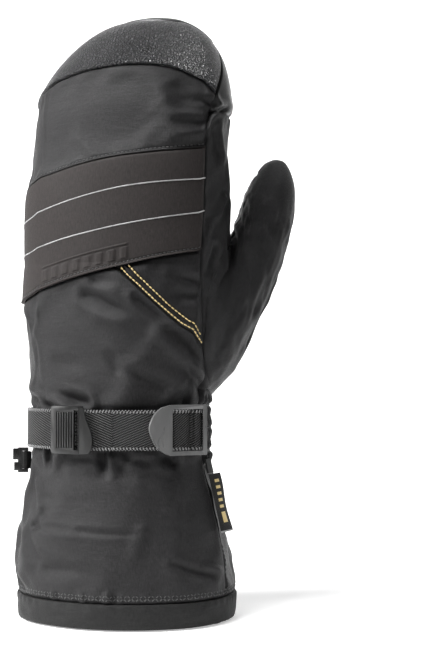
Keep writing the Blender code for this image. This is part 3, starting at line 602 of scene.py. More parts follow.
class Net:
    """Short calls for building a node tree."""

    def __init__(self, tree):
        self.tree = tree
        self.where = tree.nodes.new("ShaderNodeTexCoord")

    def node(self, kind, inputs=None, **settings):
        made = self.tree.nodes.new(kind)
        for key, value in settings.items():
            setattr(made, key, value)
        for key, value in (inputs or {}).items():
            if isinstance(value, bpy.types.NodeSocket):
                self.tree.links.new(value, made.inputs[key])
            else:
                made.inputs[key].default_value = value
        return made

    def math(self, operation, a, b=0.0, c=0.0):
        return self.node("ShaderNodeMath", {0: a, 1: b, 2: c}, operation=operation).outputs[0]

    def noise(self, scale, detail=2.0, rough=0.5, space="Object", stretch=None):
        vector = self.where.outputs[space]
        if stretch:
            vector = self.node("ShaderNodeMapping", {0: vector, 3: stretch}).outputs[0]
        inputs = {"Vector": vector, "Scale": scale, "Detail": detail, "Roughness": rough}
        return self.node("ShaderNodeTexNoise", inputs).outputs[0]

    def cells(self, scale, feature="F1"):
        inputs = {"Vector": self.where.outputs["Object"], "Scale": scale}
        return self.node("ShaderNodeTexVoronoi", inputs, feature=feature).outputs["Distance"]

    def ramp(self, value, stops):
        made = self.node("ShaderNodeValToRGB", {0: value})
        ramp = made.color_ramp
        while len(ramp.elements) < len(stops):
            ramp.elements.new(0.5)
        for element, (place, colour) in zip(ramp.elements, stops):
            element.position = place
            element.color = (*colour, 1) if len(colour) == 3 else colour
        return made.outputs[0]

    def spread(self, value, low, high, to_low, to_high):
        return self.node("ShaderNodeMapRange", {0: value, 1: low, 2: high, 3: to_low, 4: to_high}).outputs[0]

    def bumped(self, height, distance, strength=1.0, after=None):
        inputs = {"Height": height, "Distance": distance, "Strength": strength}
        if after is not None:
            inputs["Normal"] = after
        return self.node("ShaderNodeBump", inputs).outputs[0]

    def wave(self, value, period):
        """A sine of a value with this period in metres."""
        return self.math("SINE", self.math("MULTIPLY", value, 2 * math.pi / period))

    def mixed(self, parts):
        """The sum of (value, weight) pairs."""
        total = 0.0
        for value, weight in reversed(parts):
            total = self.math("MULTIPLY_ADD", value, weight, total)
        return total


def cloth_material(name, dark, light, weave=0.00055, rough=0.72, sheen=0.25, crinkle=0.00035):
    """Tightly woven shell cloth: two thread directions, a fine crinkle and worn lighter patches."""
    made, tree, shader = new_material(name)
    net = Net(tree)
    flat = net.node("ShaderNodeSeparateXYZ", {0: net.where.outputs["UV"]})
    warp = net.math("ABSOLUTE", net.wave(flat.outputs[0], weave))
    weft = net.math("ABSOLUTE", net.wave(flat.outputs[1], weave))
    weave_height = net.math("MULTIPLY", net.math("ADD", warp, weft), 0.5)
    slub = net.noise(1500, 2, 0.7, "UV", (1.0, 0.22, 1.0))
    fine = net.noise(900, 4, 0.6)
    large = net.noise(30, 3, 0.55)
    crease = net.noise(170, 3, 0.6, stretch=(0.6, 0.6, 1.7))
    tint = net.mixed(((slub, 0.55), (fine, 0.25), (large, 0.2)))
    shader.inputs["Base Color"].default_value = (*dark, 1)
    tree.links.new(net.ramp(tint, [(0.32, dark), (0.68, light)]), shader.inputs["Base Color"])
    tree.links.new(net.spread(large, 0.3, 0.7, rough - 0.06, rough + 0.08), shader.inputs["Roughness"])
    first = net.bumped(crease, crinkle, 0.9)
    second = net.bumped(net.math("MULTIPLY_ADD", fine, 0.6, weave_height), 0.00009, 0.8, first)
    tree.links.new(second, shader.inputs["Normal"])
    shader.inputs["Sheen Weight"].default_value = sheen
    shader.inputs["Sheen Roughness"].default_value = 0.45
    shader.inputs["Specular IOR Level"].default_value = 0.22
    return made


def leather_material(name, dark, light, pebble=700, depth=0.00030, rough=0.36, smooth=False):
    """Leather grain from rounded cells with creases between them. Its colour is darker in the creases and
    lighter on the cell tops, a painted shade and painted highlight.
    """
    made, tree, shader = new_material(name)
    net = Net(tree)
    edge = net.cells(pebble, "DISTANCE_TO_EDGE")
    small = net.cells(pebble * 2.3, "DISTANCE_TO_EDGE")
    wide = net.noise(45, 3, 0.6)
    fine = net.noise(2200, 3, 0.6)
    height = net.spread(edge, 0.0, 0.30, 0.0, 1.0)
    height = net.math("MULTIPLY_ADD", net.spread(small, 0.0, 0.3, 0.0, 1.0), 0.3, height)
    height = net.math("MULTIPLY_ADD", fine, 0.15, height)
    # Colour darker in the creases between cells and lighter on their tops: painted shade and painted
    # highlight, with random tone from the wide noise.
    grain_with_painted_shade = net.math("MULTIPLY_ADD", wide, 0.09, net.math("MULTIPLY_ADD", height, 0.5, 0.08))
    tree.links.new(net.ramp(grain_with_painted_shade, [(0.15, dark), (0.75, light)]), shader.inputs["Base Color"])
    tree.links.new(net.spread(wide, 0.3, 0.7, rough, rough + 0.05), shader.inputs["Roughness"])
    soft = net.bumped(wide, 0.0006, 0.4)
    tree.links.new(net.bumped(height, depth, 0.35 if smooth else 1.0, soft), shader.inputs["Normal"])
    shader.inputs["Specular IOR Level"].default_value = 0.55
    return made


def plastic_material(name, colour, light, rough=0.38):
    """Moulded plastic: fine spark texture, faint flow marks and a lighter colour on its sharp edges."""
    made, tree, shader = new_material(name)
    net = Net(tree)
    spark = net.noise(5200, 2, 0.5)
    flow = net.noise(160, 3, 0.6, stretch=(1.0, 1.0, 0.3))
    geometry = net.node("ShaderNodeNewGeometry")
    # Lighter colour on sharp convex edges.
    lighter_on_edges = net.spread(geometry.outputs["Pointiness"], 0.50, 0.62, 0.0, 1.0)
    tint = net.math("ADD", net.math("MULTIPLY", flow, 0.6), net.math("MULTIPLY", lighter_on_edges, 0.35))
    tree.links.new(net.ramp(tint, [(0.25, colour), (0.8, light)]), shader.inputs["Base Color"])
    tree.links.new(net.spread(flow, 0.3, 0.7, rough - 0.07, rough + 0.08), shader.inputs["Roughness"])
    tree.links.new(net.bumped(spark, 0.00004, 0.7), shader.inputs["Normal"])
    return made


def webbing_material(name, dark, light, pitch=0.00105, slope=0.45):
    """Twill webbing: shallow slanting rows of thick threads, each broken by the threads that cross it, with a
    painted highlight on the ridges and painted shade between them.
    """
    made, tree, shader = new_material(name)
    net = Net(tree)
    parts = net.node("ShaderNodeSeparateXYZ", {0: net.where.outputs["UV"]})
    row = net.math("MULTIPLY_ADD", parts.outputs[0], -slope, parts.outputs[1])
    ridge = net.math("MULTIPLY_ADD", net.wave(row, pitch), 0.5, 0.5)
    along_row = net.math("MULTIPLY_ADD", parts.outputs[1], slope * 2.2, parts.outputs[0])
    beads = net.math("MULTIPLY_ADD", net.wave(along_row, 0.0009), 0.5, 0.5)
    thread = net.noise(2400, 3, 0.6)
    height = net.math("MULTIPLY", ridge, net.math("MULTIPLY_ADD", beads, 0.55, 0.45))
    # Colour follows the thread relief, pale on the ridges and near black between them: painted highlight and
    # painted shade.
    tint = net.math("MULTIPLY_ADD", thread, 0.25, net.math("MULTIPLY", height, 0.85))
    tree.links.new(net.ramp(tint, [(0.42, dark), (0.95, light)]), shader.inputs["Base Color"])
    shader.inputs["Roughness"].default_value = 0.6
    shader.inputs["Specular IOR Level"].default_value = 0.15
    first = net.bumped(height, 0.0008, 1.0)
    tree.links.new(net.bumped(thread, 0.0001, 0.6, first), shader.inputs["Normal"])
    return made


def thread_material(name, dark, light, rough=0.5):
    made, tree, shader = new_material(name)
    net = Net(tree)
    twist = net.noise(3500, 2, 0.5)
    tree.links.new(net.ramp(twist, [(0.3, dark), (0.7, light)]), shader.inputs["Base Color"])
    shader.inputs["Roughness"].default_value = rough
    tree.links.new(net.bumped(twist, 0.00008, 0.8), shader.inputs["Normal"])
    shader.inputs["Sheen Weight"].default_value = 0.2
    return made


def fleece_material(name, dark, light):
    made, tree, shader = new_material(name)
    net = Net(tree)
    loft = net.noise(700, 5, 0.7)
    tuft = net.cells(420, "F1")
    tree.links.new(net.ramp(loft, [(0.3, dark), (0.7, light)]), shader.inputs["Base Color"])
    shader.inputs["Roughness"].default_value = 0.95
    first = net.bumped(tuft, 0.0012, 0.8)
    tree.links.new(net.bumped(loft, 0.0006, 1.0, first), shader.inputs["Normal"])
    shader.inputs["Sheen Weight"].default_value = 0.5
    return made


def grey(value):
    return (value, value, value)


MAT = {
    "shell": cloth_material(
        "shell_cloth", (0.0015, 0.0014, 0.0015), (0.0160, 0.0154, 0.0163), 0.00055, 0.50, 0.02
    ),
    "hem": cloth_material("hem_cloth", grey(0.003), grey(0.013), 0.0007, 0.6, 0.02, 0.0005),
    "band": cloth_material(
        "band_softshell", (0.0085, 0.0068, 0.0064), (0.024, 0.0195, 0.0185), 0.0008, 0.7, 0.03, 0.0001
    ),
    "suede": cloth_material("suede", grey(0.003), grey(0.008), 0.0004, 0.95, 0.05, 0.0002),
    "pebble": leather_material("pebbled_leather", grey(0.002), (0.070, 0.0695, 0.073), 600, 0.0014, 0.27),
    "smooth": leather_material("smooth_leather", grey(0.002), grey(0.006), 1500, 0.00012, 0.32, True),
    "silver": plastic_material("silver_piping", grey(0.22), grey(0.40), 0.28),
    "black_plastic": plastic_material("black_plastic", grey(0.010), grey(0.030), 0.32),
    "dark_plastic": plastic_material("dark_plastic", grey(0.004), grey(0.012), 0.32),
    "grey_plastic": plastic_material("grey_plastic", grey(0.08), grey(0.17), 0.34),
    "webbing": webbing_material("webbing", grey(0.001), grey(0.15), 0.00125, -0.42),
    "webbing_turned": webbing_material("webbing_turned", grey(0.001), grey(0.13), 0.00125, 0.42),
    "webbing_folded": webbing_material("webbing_folded", grey(0.001), grey(0.13), 0.00125, 0.8),
    "label": cloth_material("label_cloth", grey(0.003), grey(0.007), 0.0005, 0.7, 0.05, 0.0001),
    "elastic": cloth_material("elastic", grey(0.010), grey(0.022), 0.0009, 0.8, 0.2, 0.0002),
    "black_thread": thread_material("black_thread", grey(0.008), grey(0.028)),
    "grey_thread": thread_material("grey_thread", grey(0.10), grey(0.22)),
    "gold_thread": thread_material("gold_thread", (0.42, 0.30, 0.10), (0.70, 0.55, 0.24)),
    "fleece": fleece_material("fleece_lining", grey(0.012), grey(0.03)),
    "fill": fleece_material("fill", grey(0.5), grey(0.7)),
    "film": plastic_material("film", grey(0.5), grey(0.65), 0.45),
}


# ---------------------------------------------------------------- cloth simulation of the shell


def simulate():
    """Lets the padded shell fill out and crumple between its seams, which stay put.

    The cloth is ten times the real size, where the solver's steps are steadier.
    """
    columns, grown = 200, 10
    rows = np.concatenate([np.linspace(HEM_TOP, 294, 165), [300, 306]])
    u = np.linspace(-60, 300, columns, endpoint=False)
    uu, zz = np.meshgrid(u, rows)
    points = skin(uu, zz)
    mesh = bpy.data.meshes.new("sim")
    verts = world(points.reshape(-1, 3)) * grown
    mesh.from_pydata([tuple(v) for v in verts], [], grid_faces(len(rows), columns, True))
    cloth = bpy.data.objects.new("sim", mesh)
    bpy.context.scene.collection.objects.link(cloth)
    s = wrapped(uu)
    back = (s > THUMB_SIDE) & (s < LITTLE)

    def near(distance, width):
        return np.exp(-((distance / width) ** 2))

    pin = near(zz - HEM_TOP, 2.5) + near(zz - 306, 6)
    for edge in (THUMB_SIDE, LITTLE):
        pin += near((s - edge) * MM_PER_STATION, 1.6)
    for table in (CAP_SEAM, BAND_TOP, BAND_BOTTOM):
        pin += np.where(back, near(zz - lines(table, s), 1.6), 0)
    pin += np.where(back & (s < 88), near(zz - lines(DIAGONAL, s), 1.6), 0)
    inside_band = back & (zz < lines(BAND_TOP, s)) & (zz > lines(BAND_BOTTOM, s))
    pin += np.where(inside_band, 0.35, 0)
    pin += np.where((s > 40) & (s < 186), step(zz, 87, 91) * step(-zz, -113, -109), 0)
    palm = (s <= THUMB_SIDE - 10) | (s >= LITTLE + 6)
    pin += np.where(palm, step(zz, 80, 84) * step(-zz, -122, -118), 0)
    pin += np.where(zz > lines(CAP_SEAM, s), 0.6, 0)
    pin += np.where((s > PALM_LITTLE) | (s < PALM_THUMB), 0.45, 0)
    loop = np.hypot((s + 4) / 50, (zz - 154) / 34)
    pin += step(-loop, -1.05, -0.9)
    pin = np.clip(pin, 0, 1)
    group = cloth.vertex_groups.new(name="pin")
    for index, weight in enumerate(pin.ravel()):
        group.add([index], float(weight), "REPLACE")
    tool = cloth.modifiers.new("cloth", "CLOTH")
    setting = tool.settings
    setting.quality = 6
    setting.mass = 0.25
    setting.tension_stiffness = setting.compression_stiffness = 18
    setting.shear_stiffness = 6
    setting.bending_stiffness = 0.35
    setting.vertex_group_mass = "pin"
    setting.pin_stiffness = 2.0
    setting.shrink_min = -0.05
    setting.use_pressure = True
    setting.uniform_pressure_force = 1.2
    setting.effector_weights.gravity = 0
    tool.collision_settings.use_collision = False
    for number in range(1, 21):
        bpy.context.scene.frame_set(number)
    evaluated = cloth.evaluated_get(bpy.context.evaluated_depsgraph_get())
    out = np.zeros(len(mesh.vertices) * 3)
    evaluated.data.vertices.foreach_get("co", out)
    shift = (out.reshape(-1, 3) / grown / MM - SHIFT).reshape(points.shape) - points
    bpy.data.objects.remove(cloth)
    bpy.context.scene.frame_set(1)
    SIM["field"] = calmed(shift, uu, zz, inside_band)
    SIM["rows"] = rows


def calmed(shift, uu, zz, inside_band):
    """The simulated movement, kept within the padding, softened, and nearly still on the foam band."""
    normal = normals(uu, zz)
    depth = (shift * normal).sum(-1)
    flat = shift - normal * depth[..., None]
    reach = np.where(depth > 0, 3.2, 2.6)
    depth = reach * np.tanh(depth / reach)
    size = np.linalg.norm(flat, axis=-1, keepdims=True)
    flat *= np.tanh(size) / np.maximum(size, 1e-9)
    out = normal * depth[..., None] + flat
    for _ in range(2):
        out = (2 * out + np.roll(out, 1, 1) + np.roll(out, -1, 1)) / 4
        inner = (2 * out[1:-1] + out[:-2] + out[2:]) / 4
        out = np.concatenate([out[:1], inner, out[-1:]])
    still = 1 - 0.92 * inside_band
    return out * still[..., None]


# ---------------------------------------------------------------- the hand and cuff


# The upper edge of the panels, under the leather strip over the fingertips: station, height.
CROWN_LINE = (
    (-60, 306), (20, 306), (54, 308), (64, 312.5), (80, 316), (110, 317.3), (140, 316.5), (160, 313.5),
    (172, 311), (200, 308), (240, 306), (330, 306),
)


def build_shell():
    """The outer panels, each named as the CAD node that it stands for."""
    back, shell, low = (THUMB_SIDE, LITTLE), MAT["shell"], ("low",)
    cap = ["fingertip_cap"]
    panel("fingertip_cap", MAT["pebble"], back, CAP_SEAM, CROWN_LINE, 60, 150, cap, 0.3, laps=low)
    panel("upper_back_panel", shell, back, BAND_TOP, CAP_SEAM, 80, 170, ["upper_back_panel"], laps=low)
    panel(
        "knuckle_band", MAT["band"], back, BAND_BOTTOM, BAND_TOP, 170, 330, ["knuckle_band", "knuckle_foam"],
        1.0, laps=low, relief=pressed_bars,
    )
    split = DIAGONAL + tuple(row for row in BAND_BOTTOM if row[0] > 90)
    panel("lower_back_panel", shell, back, STRAP_MID, split, 120, 180, ["lower_back_panel"], opens=low)
    panel("wedge_panel", shell, (THUMB_SIDE, 87.6), DIAGONAL, BAND_BOTTOM, 60, 60, ["wedge_panel"])
    hem = HEM_TOP - 0.5
    panel("cuff_back_panel", shell, back, hem, STRAP_MID, 120, 180, ["cuff_back_panel"], opens=("high",))
    around = (LITTLE, THUMB_SIDE + 360)
    panel("cuff_palm_panel", shell, around, hem, WRIST_LOW, 80, 200, ["cuff_palm_panel"])
    build_shirring()
    little = (LITTLE, PALM_LITTLE)
    panel("little_finger_gusset", shell, little, WRIST_TOP, LITTLE_WRAP, 130, 60, ["little_finger_gusset"])
    palm = (PALM_LITTLE, PALM_THUMB + 360)
    panel("palm_leather", MAT["pebble"], palm, WRIST_TOP, CROWN, 160, 90, ["palm_leather"])
    gusset = (PALM_THUMB, THUMB_SIDE)
    keep = hole_keep(gusset, 150, 90)
    side = ["thumb_side_gusset"]
    panel("thumb_side_gusset", shell, gusset, WRIST_TOP, THUMB_WRAP, 150, 90, side, keep=keep)
    build_wrap()


def hole_keep(stations, rows, columns):
    """Leaves out the cells that the thumb covers."""
    u = stations[0] + (stations[1] - stations[0]) * edged(columns)
    v = WRIST_TOP + (THUMB_WRAP - WRIST_TOP) * edged(rows)
    uu, zz = np.meshgrid(np.concatenate([u[:1], u, u[-1:]]), np.concatenate([v[:1], v, v[-1:]]))
    return np.hypot((uu + 6) / 48, (zz - 155) / 30) > 1


def build_wrap():
    """The smooth leather strip over the fingertips, a crown with a leg down each side."""
    smooth = MAT["smooth"]
    panel("wrap_thumb_leg", smooth, (PALM_THUMB, THUMB_SIDE), THUMB_WRAP, CROWN_LINE, 40, 60, opens=("high",))
    panel("wrap_little_leg", smooth, (LITTLE, PALM_LITTLE), LITTLE_WRAP, CROWN_LINE, 40, 50, opens=("high",))
    u = np.linspace(-60, 300, 200, endpoint=False)
    share = np.linspace(1, 0, 40)[:, None] ** 2.2
    start = lines(CROWN_LINE, wrapped(u))
    zz = TOP - 0.002 - (TOP - start) * share
    uu = np.broadcast_to(u, zz.shape)
    s = wrapped(uu)
    sewn = 1 - step(s, -47, -43) * step(-s, -56, -52) - step(s, 170, 174) * step(-s, -242, -238)
    drop = seam_drop((zz - start) * 1.6) * sewn
    made = grid("fingertip_wrap", skin(uu, zz, drop + 0.2), smooth, closed=True)
    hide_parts("fingertip_wrap")


def shirred(station, z):
    """Height of the diamond puckers on the palm side of the wrist."""
    turn = 2 * math.pi * station / 10.5
    rise = 2 * math.pi * (z - STRAP_MID) / 26
    diamond = np.abs(np.sin(turn / 2 + rise / 2) * np.sin(turn / 2 - rise / 2))
    rows = 1 - 0.85 * bump(z, 88, 1.4) - 0.85 * bump(z, 112, 1.4) - 0.5 * bump(z, 100, 1.2)
    return (2.3 * diamond**0.7 - 0.4) * rows


def build_shirring():
    rows, columns = 110, 420
    u = np.linspace(LITTLE, THUMB_SIDE + 360, columns)
    z = np.linspace(WRIST_LOW, WRIST_TOP, rows)
    uu, zz = np.meshgrid(u, z)
    left, right = (uu - LITTLE) * 0.8, (THUMB_SIDE + 360 - uu) * 0.8
    edge = np.minimum.reduce([left, right, zz - WRIST_LOW, WRIST_TOP - zz])
    drop = seam_drop(edge) + shirred(uu, zz) * step(edge, 0, 5)
    points = skin(uu, zz, drop)
    uv = np.stack([uu * 0.8, zz], -1) * MM
    points, uv = tuck(points, uv, skin(uu, zz, drop - 2.2))
    made = grid("palm_wrist_panel", points, MAT["shell"], uv=uv)
    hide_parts("palm_wrist_panel", "wrist_elastic_lower", "wrist_elastic_upper")
    for k, level in enumerate((88, 112, 100)):
        line = np.linspace(LITTLE + 3, THUMB_SIDE + 357, 260)
        zig = np.full_like(line, level)
        row = skin(line, zig, shirred(line, zig) + 0.1)
        stitches(f"wrist_stitch_{k}", row, MAT["black_thread"], normals(line, zig), 2.6, 2.0, 0.3)


def build_hem():
    """The padded hem: a soft roll whose fleecy lining turns out a little under its lower edge."""
    columns = 260
    u = np.linspace(-60, 300, columns, endpoint=False)
    outer = []
    for t in np.linspace(0, 1, 18):
        angle = math.pi * (0.5 - t)
        outer.append((0.75 * max(math.cos(angle), 0) ** 0.5, 6.9 + 6.4 * math.sin(angle)))
    inner = [(-1.5, 0.35), (-4.0, 0.15), (-6.5, 0.3), (-8.2, 1.8), (-8.5, 7.0), (-8.0, 12.0), (-7.0, 13.4)]
    rows = []
    side = normals(u, np.full(columns, 8.0))
    for out, z in outer[:1] + outer:
        wave = 0.4 * hash_noise(u / 6, np.full(columns, z / 6), 21)
        wave += 0.3 * np.sin(np.radians(u) * 70) * bump(z, 12.5, 2.5)
        low = 0.5 * (0.5 + 0.5 * hash_noise(u / 1.5, np.full(columns, 3.3), 23)) * bump(z, 0.5, 1.2)
        line = base(u, np.full(columns, z)) + side * (out - 0.2 + wave * float(step(z, 1.5, 5)))[:, None]
        line[:, 2] += low
        rows.append(line)
    rows[0] = rows[0] - side * 3.0
    for out, z in inner:
        line = base(u, np.full(columns, 2.0), -out)
        line[:, 2] = z
        rows.append(line)
    points = np.array(rows)
    uv = np.stack(np.broadcast_arrays(u[None, :] * 0.95, np.arange(len(rows))[:, None] * 1.1), -1) * MM
    made = grid("hem_band", points, MAT["hem"], closed=True, uv=uv)
    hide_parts("hem_band")


def bag(name, material, depth, low, high, rows, nodes):
    """A whole layer inside the mitten, at this depth under the outer surface."""
    u = np.linspace(-60, 300, 120, endpoint=False)
    z = low + (high - low) * (1 - (1 - np.linspace(0, 1, rows)) ** 1.6)
    uu, zz = np.meshgrid(u, z)
    points = base(uu, zz, depth) - normals(uu, zz) * (0.25 * hash_noise(uu / 7, zz / 7, 41) + 0.25)[..., None]
    made = grid(name, points, material, closed=True)
    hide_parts(*nodes)


def build_inner_layers():
    low, high = HEM_TOP - 2, TOP - 0.01
    bag("cuff_lining", MAT["fleece"], 7.8, 13.0, STRAP_MID, 50, ["cuff_lining"])
    bag("hand_lining", MAT["fleece"], 7.8, STRAP_MID, high, 100, ["hand_lining"])
    bag("waterproof_membrane", MAT["film"], 6.2, low, high, 100, ["waterproof_membrane"])
    bag("insulation", MAT["fill"], 6.9, low, high, 100, ["insulation_back", "insulation_palm"])
    d, t = np.meshgrid(np.linspace(0, 360, 60, endpoint=False), np.linspace(0.35, 1, 50))
    share = 0.32 + 0.68 * (t - 0.35) / 0.65 * 0.97
    for name, depth, key in (("thumb_insulation", 3.0, "fill"), ("thumb_lining", 5.5, "fleece")):
        made = grid(name, thumb_tube(share, np.radians(d), -depth), MAT[key], None, closed=True)
        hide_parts(name)
        hinge_blend(made)


def offset_line(table, first, last, count, distance, out=0.0):
    """A line beside a seam of the back, this many millimetres to its upper side."""
    u = np.linspace(first, last, count)
    z = lines(table, u)
    du, dz = np.gradient(u) * MM_PER_STATION, np.gradient(z)
    size = np.hypot(du, dz)
    uu = u - dz / size * distance / MM_PER_STATION
    zz = z + du / size * distance
    return skin(uu, zz, out), normals(uu, zz)


def build_stitching():
    black = MAT["black_thread"]
    back = (THUMB_SIDE + 1.2, LITTLE - 1.5)
    for name, table, out in (
        ("stitch_cap", CAP_SEAM, 0.25), ("stitch_band_top", BAND_TOP, 0.0),
        ("stitch_band_bottom", BAND_BOTTOM, 1.0),
    ):
        line, normal = offset_line(table, *back, 300, 1.3, out - 0.22)
        stitches(name, line, black, normal, 2.1, 1.5, 0.24)
    for name, distance, first in (("gold_stitch_upper", 3.5, 5.6), ("gold_stitch_lower", 0.9, 2.2)):
        line, normal = offset_line(DIAGONAL, THUMB_SIDE + first, 87.4, 90, distance, 0.0)
        stitches(name, line, MAT["gold_thread"], normal, 2.15, 1.75, 0.34, lift=0.18)
    line, normal = offset_line(DIAGONAL, THUMB_SIDE + 2.0, 87.4, 90, 2.2, -0.25)
    tube("gold_seam_cord", line, 0.5, MAT["shell"], normal)
    u = np.linspace(0, 359, 400)
    for k, (level, lean) in enumerate(((15.6, 0.65), (17.1, -0.65))):
        z = np.full(400, level)
        stitches(f"hem_stitch_{k}", skin(u, z, -0.35), black, normals(u, z), 2.0, 1.9, 0.28, slant=lean)
    for name, station, low, high in (
        ("stitch_side_cuff", THUMB_SIDE - 3.0, 16, 40),
        ("stitch_palm_little", PALM_LITTLE + 2.5, 124, 300),
        ("stitch_palm_thumb", PALM_THUMB - 2.5, 186, 300),
    ):
        line, normal = side_points(station, low, high, 160, -0.2)
        stitches(name, line, black, normal, 2.4, 1.7, 0.24)


def build_piping():
    for name, table in (("piping_upper", PIPING_UPPER), ("piping_lower", PIPING_LOWER)):
        line, normal = seam_points(table, THUMB_SIDE + 0.5, LITTLE - 0.5, 220, 0.95)
        made = tube(name, line, 0.34, MAT["silver"], normal)
        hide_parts(name)


# ---------------------------------------------------------------- thumb pieces


def thumb_panel(name, material, first, last, low, high, columns, rows):
    """A sewn panel of the thumb between two angles and two places along it."""
    d = first + (last - first) * edged(columns)
    t = low + (high - low) * edged(rows)
    dd, tt = np.meshgrid(d, t)
    across, tall = edge_distances(thumb_skin(tt, dd))
    drop = (seam_drop(across) + seam_drop(across[:, -1:] - across)) * step(-tt, -1.0, -0.97)
    if low > 0:
        drop = drop + seam_drop(tall)
    if high < 1:
        drop = drop + seam_drop(tall[-1:] - tall)
    drop = np.maximum(drop, -1.3)
    points = thumb_skin(tt, dd, drop)
    uv = np.stack([across + 900, tall], -1) * MM
    if high < 1:
        points, uv = tuck(points, uv, thumb_skin(tt, dd, drop - 1.6))
    made = grid(name, points, material, None, uv=uv)
    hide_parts(name)
    hinge_blend(made)


def hinge_blend(made):
    """Bakes the piece's transform into its mesh."""
    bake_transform(made)


def build_thumb():
    cap = 0.85
    thumb_panel("thumb_back_panel", MAT["shell"], -150, 2, 0, 1.0, 90, 150)
    thumb_panel("thumb_nose_wipe", MAT["suede"], 2, 62, 0, cap, 50, 120)
    thumb_panel("thumb_leather", MAT["smooth"], 62, 210, 0, cap, 80, 120)
    thumb_panel("thumb_tip_cap", MAT["smooth"], 2, 210, cap, 1.0, 90, 50)


# ---------------------------------------------------------------- strap and fittings


# A strap's section, as shares of its half height and of its thickness.
STRAP_SECTION = (
    (-1, -0.35), (-1.0, 0.35), (-0.97, 0.5), (-0.5, 0.5), (0, 0.5), (0.5, 0.5), (0.97, 0.5), (1.0, 0.35),
    (1, -0.35), (0.97, -0.5), (0, -0.5), (-0.97, -0.5),
)


def strap_strip(name, path, material, half, thickness, body, node):
    """Webbing on edge: a soft-edged strip that follows a plan path."""
    path = np.asarray(path, float)
    run = np.concatenate([[0], np.cumsum(np.linalg.norm(np.diff(path[:, :2], axis=0), axis=1))])
    ahead = np.gradient(path[:, :2], axis=0)
    ahead /= np.linalg.norm(ahead, axis=1, keepdims=True)
    side = np.stack([ahead[:, 1], -ahead[:, 0], np.zeros(len(ahead))], 1)
    ring = [(f * half, n * thickness) for f, n in STRAP_SECTION]
    points = np.array([[p + s * n + np.array([0, 0, h]) for h, n in ring] for p, s in zip(path, side)])
    uv = np.array([[(r, h) for h, n in ring] for r in run]) * MM
    count = len(ring)
    faces = grid_faces(len(path), count, True)
    faces.append(tuple(range(count)))
    faces.append(tuple(reversed(range((len(path) - 1) * count, len(path) * count))))
    made = make(name, world(points.reshape(-1, 3)), faces, material, body, uv.reshape(-1, 2))
    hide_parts(node)


SELVEDGE_PITCH = 1.64


def selvedge(name, path, half, thickness, body="mitten", length=1.9):
    """The looped edge threads along both edges of a strap."""
    path = np.asarray(path, float)
    ahead = np.gradient(path, axis=0)
    ahead /= np.linalg.norm(ahead, axis=1, keepdims=True)
    out = np.stack([ahead[:, 1], -ahead[:, 0], np.zeros(len(ahead))], 1)
    for label, level, lean in (("low", -half + 0.15, 1.15), ("high", half - 0.15, -1.15)):
        edge = path + out * (thickness / 2 - 0.12)
        edge[:, 2] += level
        stitches(
            f"{name}_{label}", edge, MAT["grey_thread"], out, SELVEDGE_PITCH, length, 0.34, body,
            slant=lean, zigzag=False,
        )


def box_mesh(t0, t1, n0, n1, h0, h1):
    """A block in a fitting's own frame: t along the strap, n outward and h up."""
    verts = [(t, n, h) for t in (t0, t1) for n in (n0, n1) for h in (h0, h1)]
    faces = [(0, 1, 3, 2), (4, 6, 7, 5), (0, 4, 5, 1), (2, 3, 7, 6), (0, 2, 6, 4), (1, 5, 7, 3)]
    return verts, faces


def solid(name, shapes, place, material, body, cuts=(), bevel=0.35, nodes=()):
    """Joins shapes, less the cuts, into one moulded piece with rounded edges.

    Each shape is (verts, faces) in the piece's own millimetres, and place puts them on the mitten.
    """
    objects = []
    for k, (verts, faces) in enumerate(list(shapes) + list(cuts)):
        mesh = bpy.data.meshes.new(f"{name}_{k}")
        mesh.from_pydata([tuple(v) for v in verts], [], faces)
        one = bpy.data.objects.new(f"{name}_{k}", mesh)
        bpy.context.scene.collection.objects.link(one)
        objects.append(one)
    first = objects[0]
    for k, other in enumerate(objects[1:], 1):
        tool = first.modifiers.new(f"join{k}", "BOOLEAN")
        tool.operation = "UNION" if k < len(shapes) else "DIFFERENCE"
        tool.solver = "EXACT"
        tool.object = other
    tool = first.modifiers.new("round", "BEVEL")
    tool.width = bevel
    tool.segments = 3
    tool.limit_method = "ANGLE"
    tool.angle_limit = math.radians(35)
    tool.harden_normals = False
    bpy.context.view_layer.update()
    result = bpy.data.meshes.new_from_object(first.evaluated_get(bpy.context.evaluated_depsgraph_get()))
    for one in objects:
        bpy.data.objects.remove(one)
    co = np.zeros(len(result.vertices) * 3)
    result.vertices.foreach_get("co", co)
    co = world(place(co.reshape(-1, 3)))
    result.vertices.foreach_set("co", co.ravel())
    result.update()
    result.polygons.foreach_set("use_smooth", [True] * len(result.polygons))
    result.set_sharp_from_angle(angle=math.radians(50))
    made = bpy.data.objects.new(shown_name(name), result)
    bpy.context.scene.collection.objects.link(made)
    result.materials.clear()
    result.materials.append(material)
    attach(made, body)
    if nodes:
        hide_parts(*nodes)


def prism_mesh(outline, n0, n1):
    """A plate: its outline in (t, h), thick from n0 to n1."""
    count = len(outline)
    verts = [(t, n0, h) for t, h in outline] + [(t, n1, h) for t, h in outline]
    faces = [tuple(range(count)), tuple(reversed(range(count, 2 * count)))]
    for i in range(count):
        k = (i + 1) % count
        faces.append((i, i + count, k + count, k))
    return verts, faces


def rod_mesh(t, n, radius, h0, h1, sides=20):
    """An upright round bar."""
    turns = [2 * math.pi * i / sides for i in range(sides)]
    outline = [(t + radius * math.cos(turn), n + radius * math.sin(turn)) for turn in turns]
    verts = [(a, b, h0) for a, b in outline] + [(a, b, h1) for a, b in outline]
    faces = [tuple(reversed(range(sides))), tuple(range(sides, 2 * sides))]
    for i in range(sides):
        k = (i + 1) % sides
        faces.append((i, k, k + sides, i + sides))
    return verts, faces


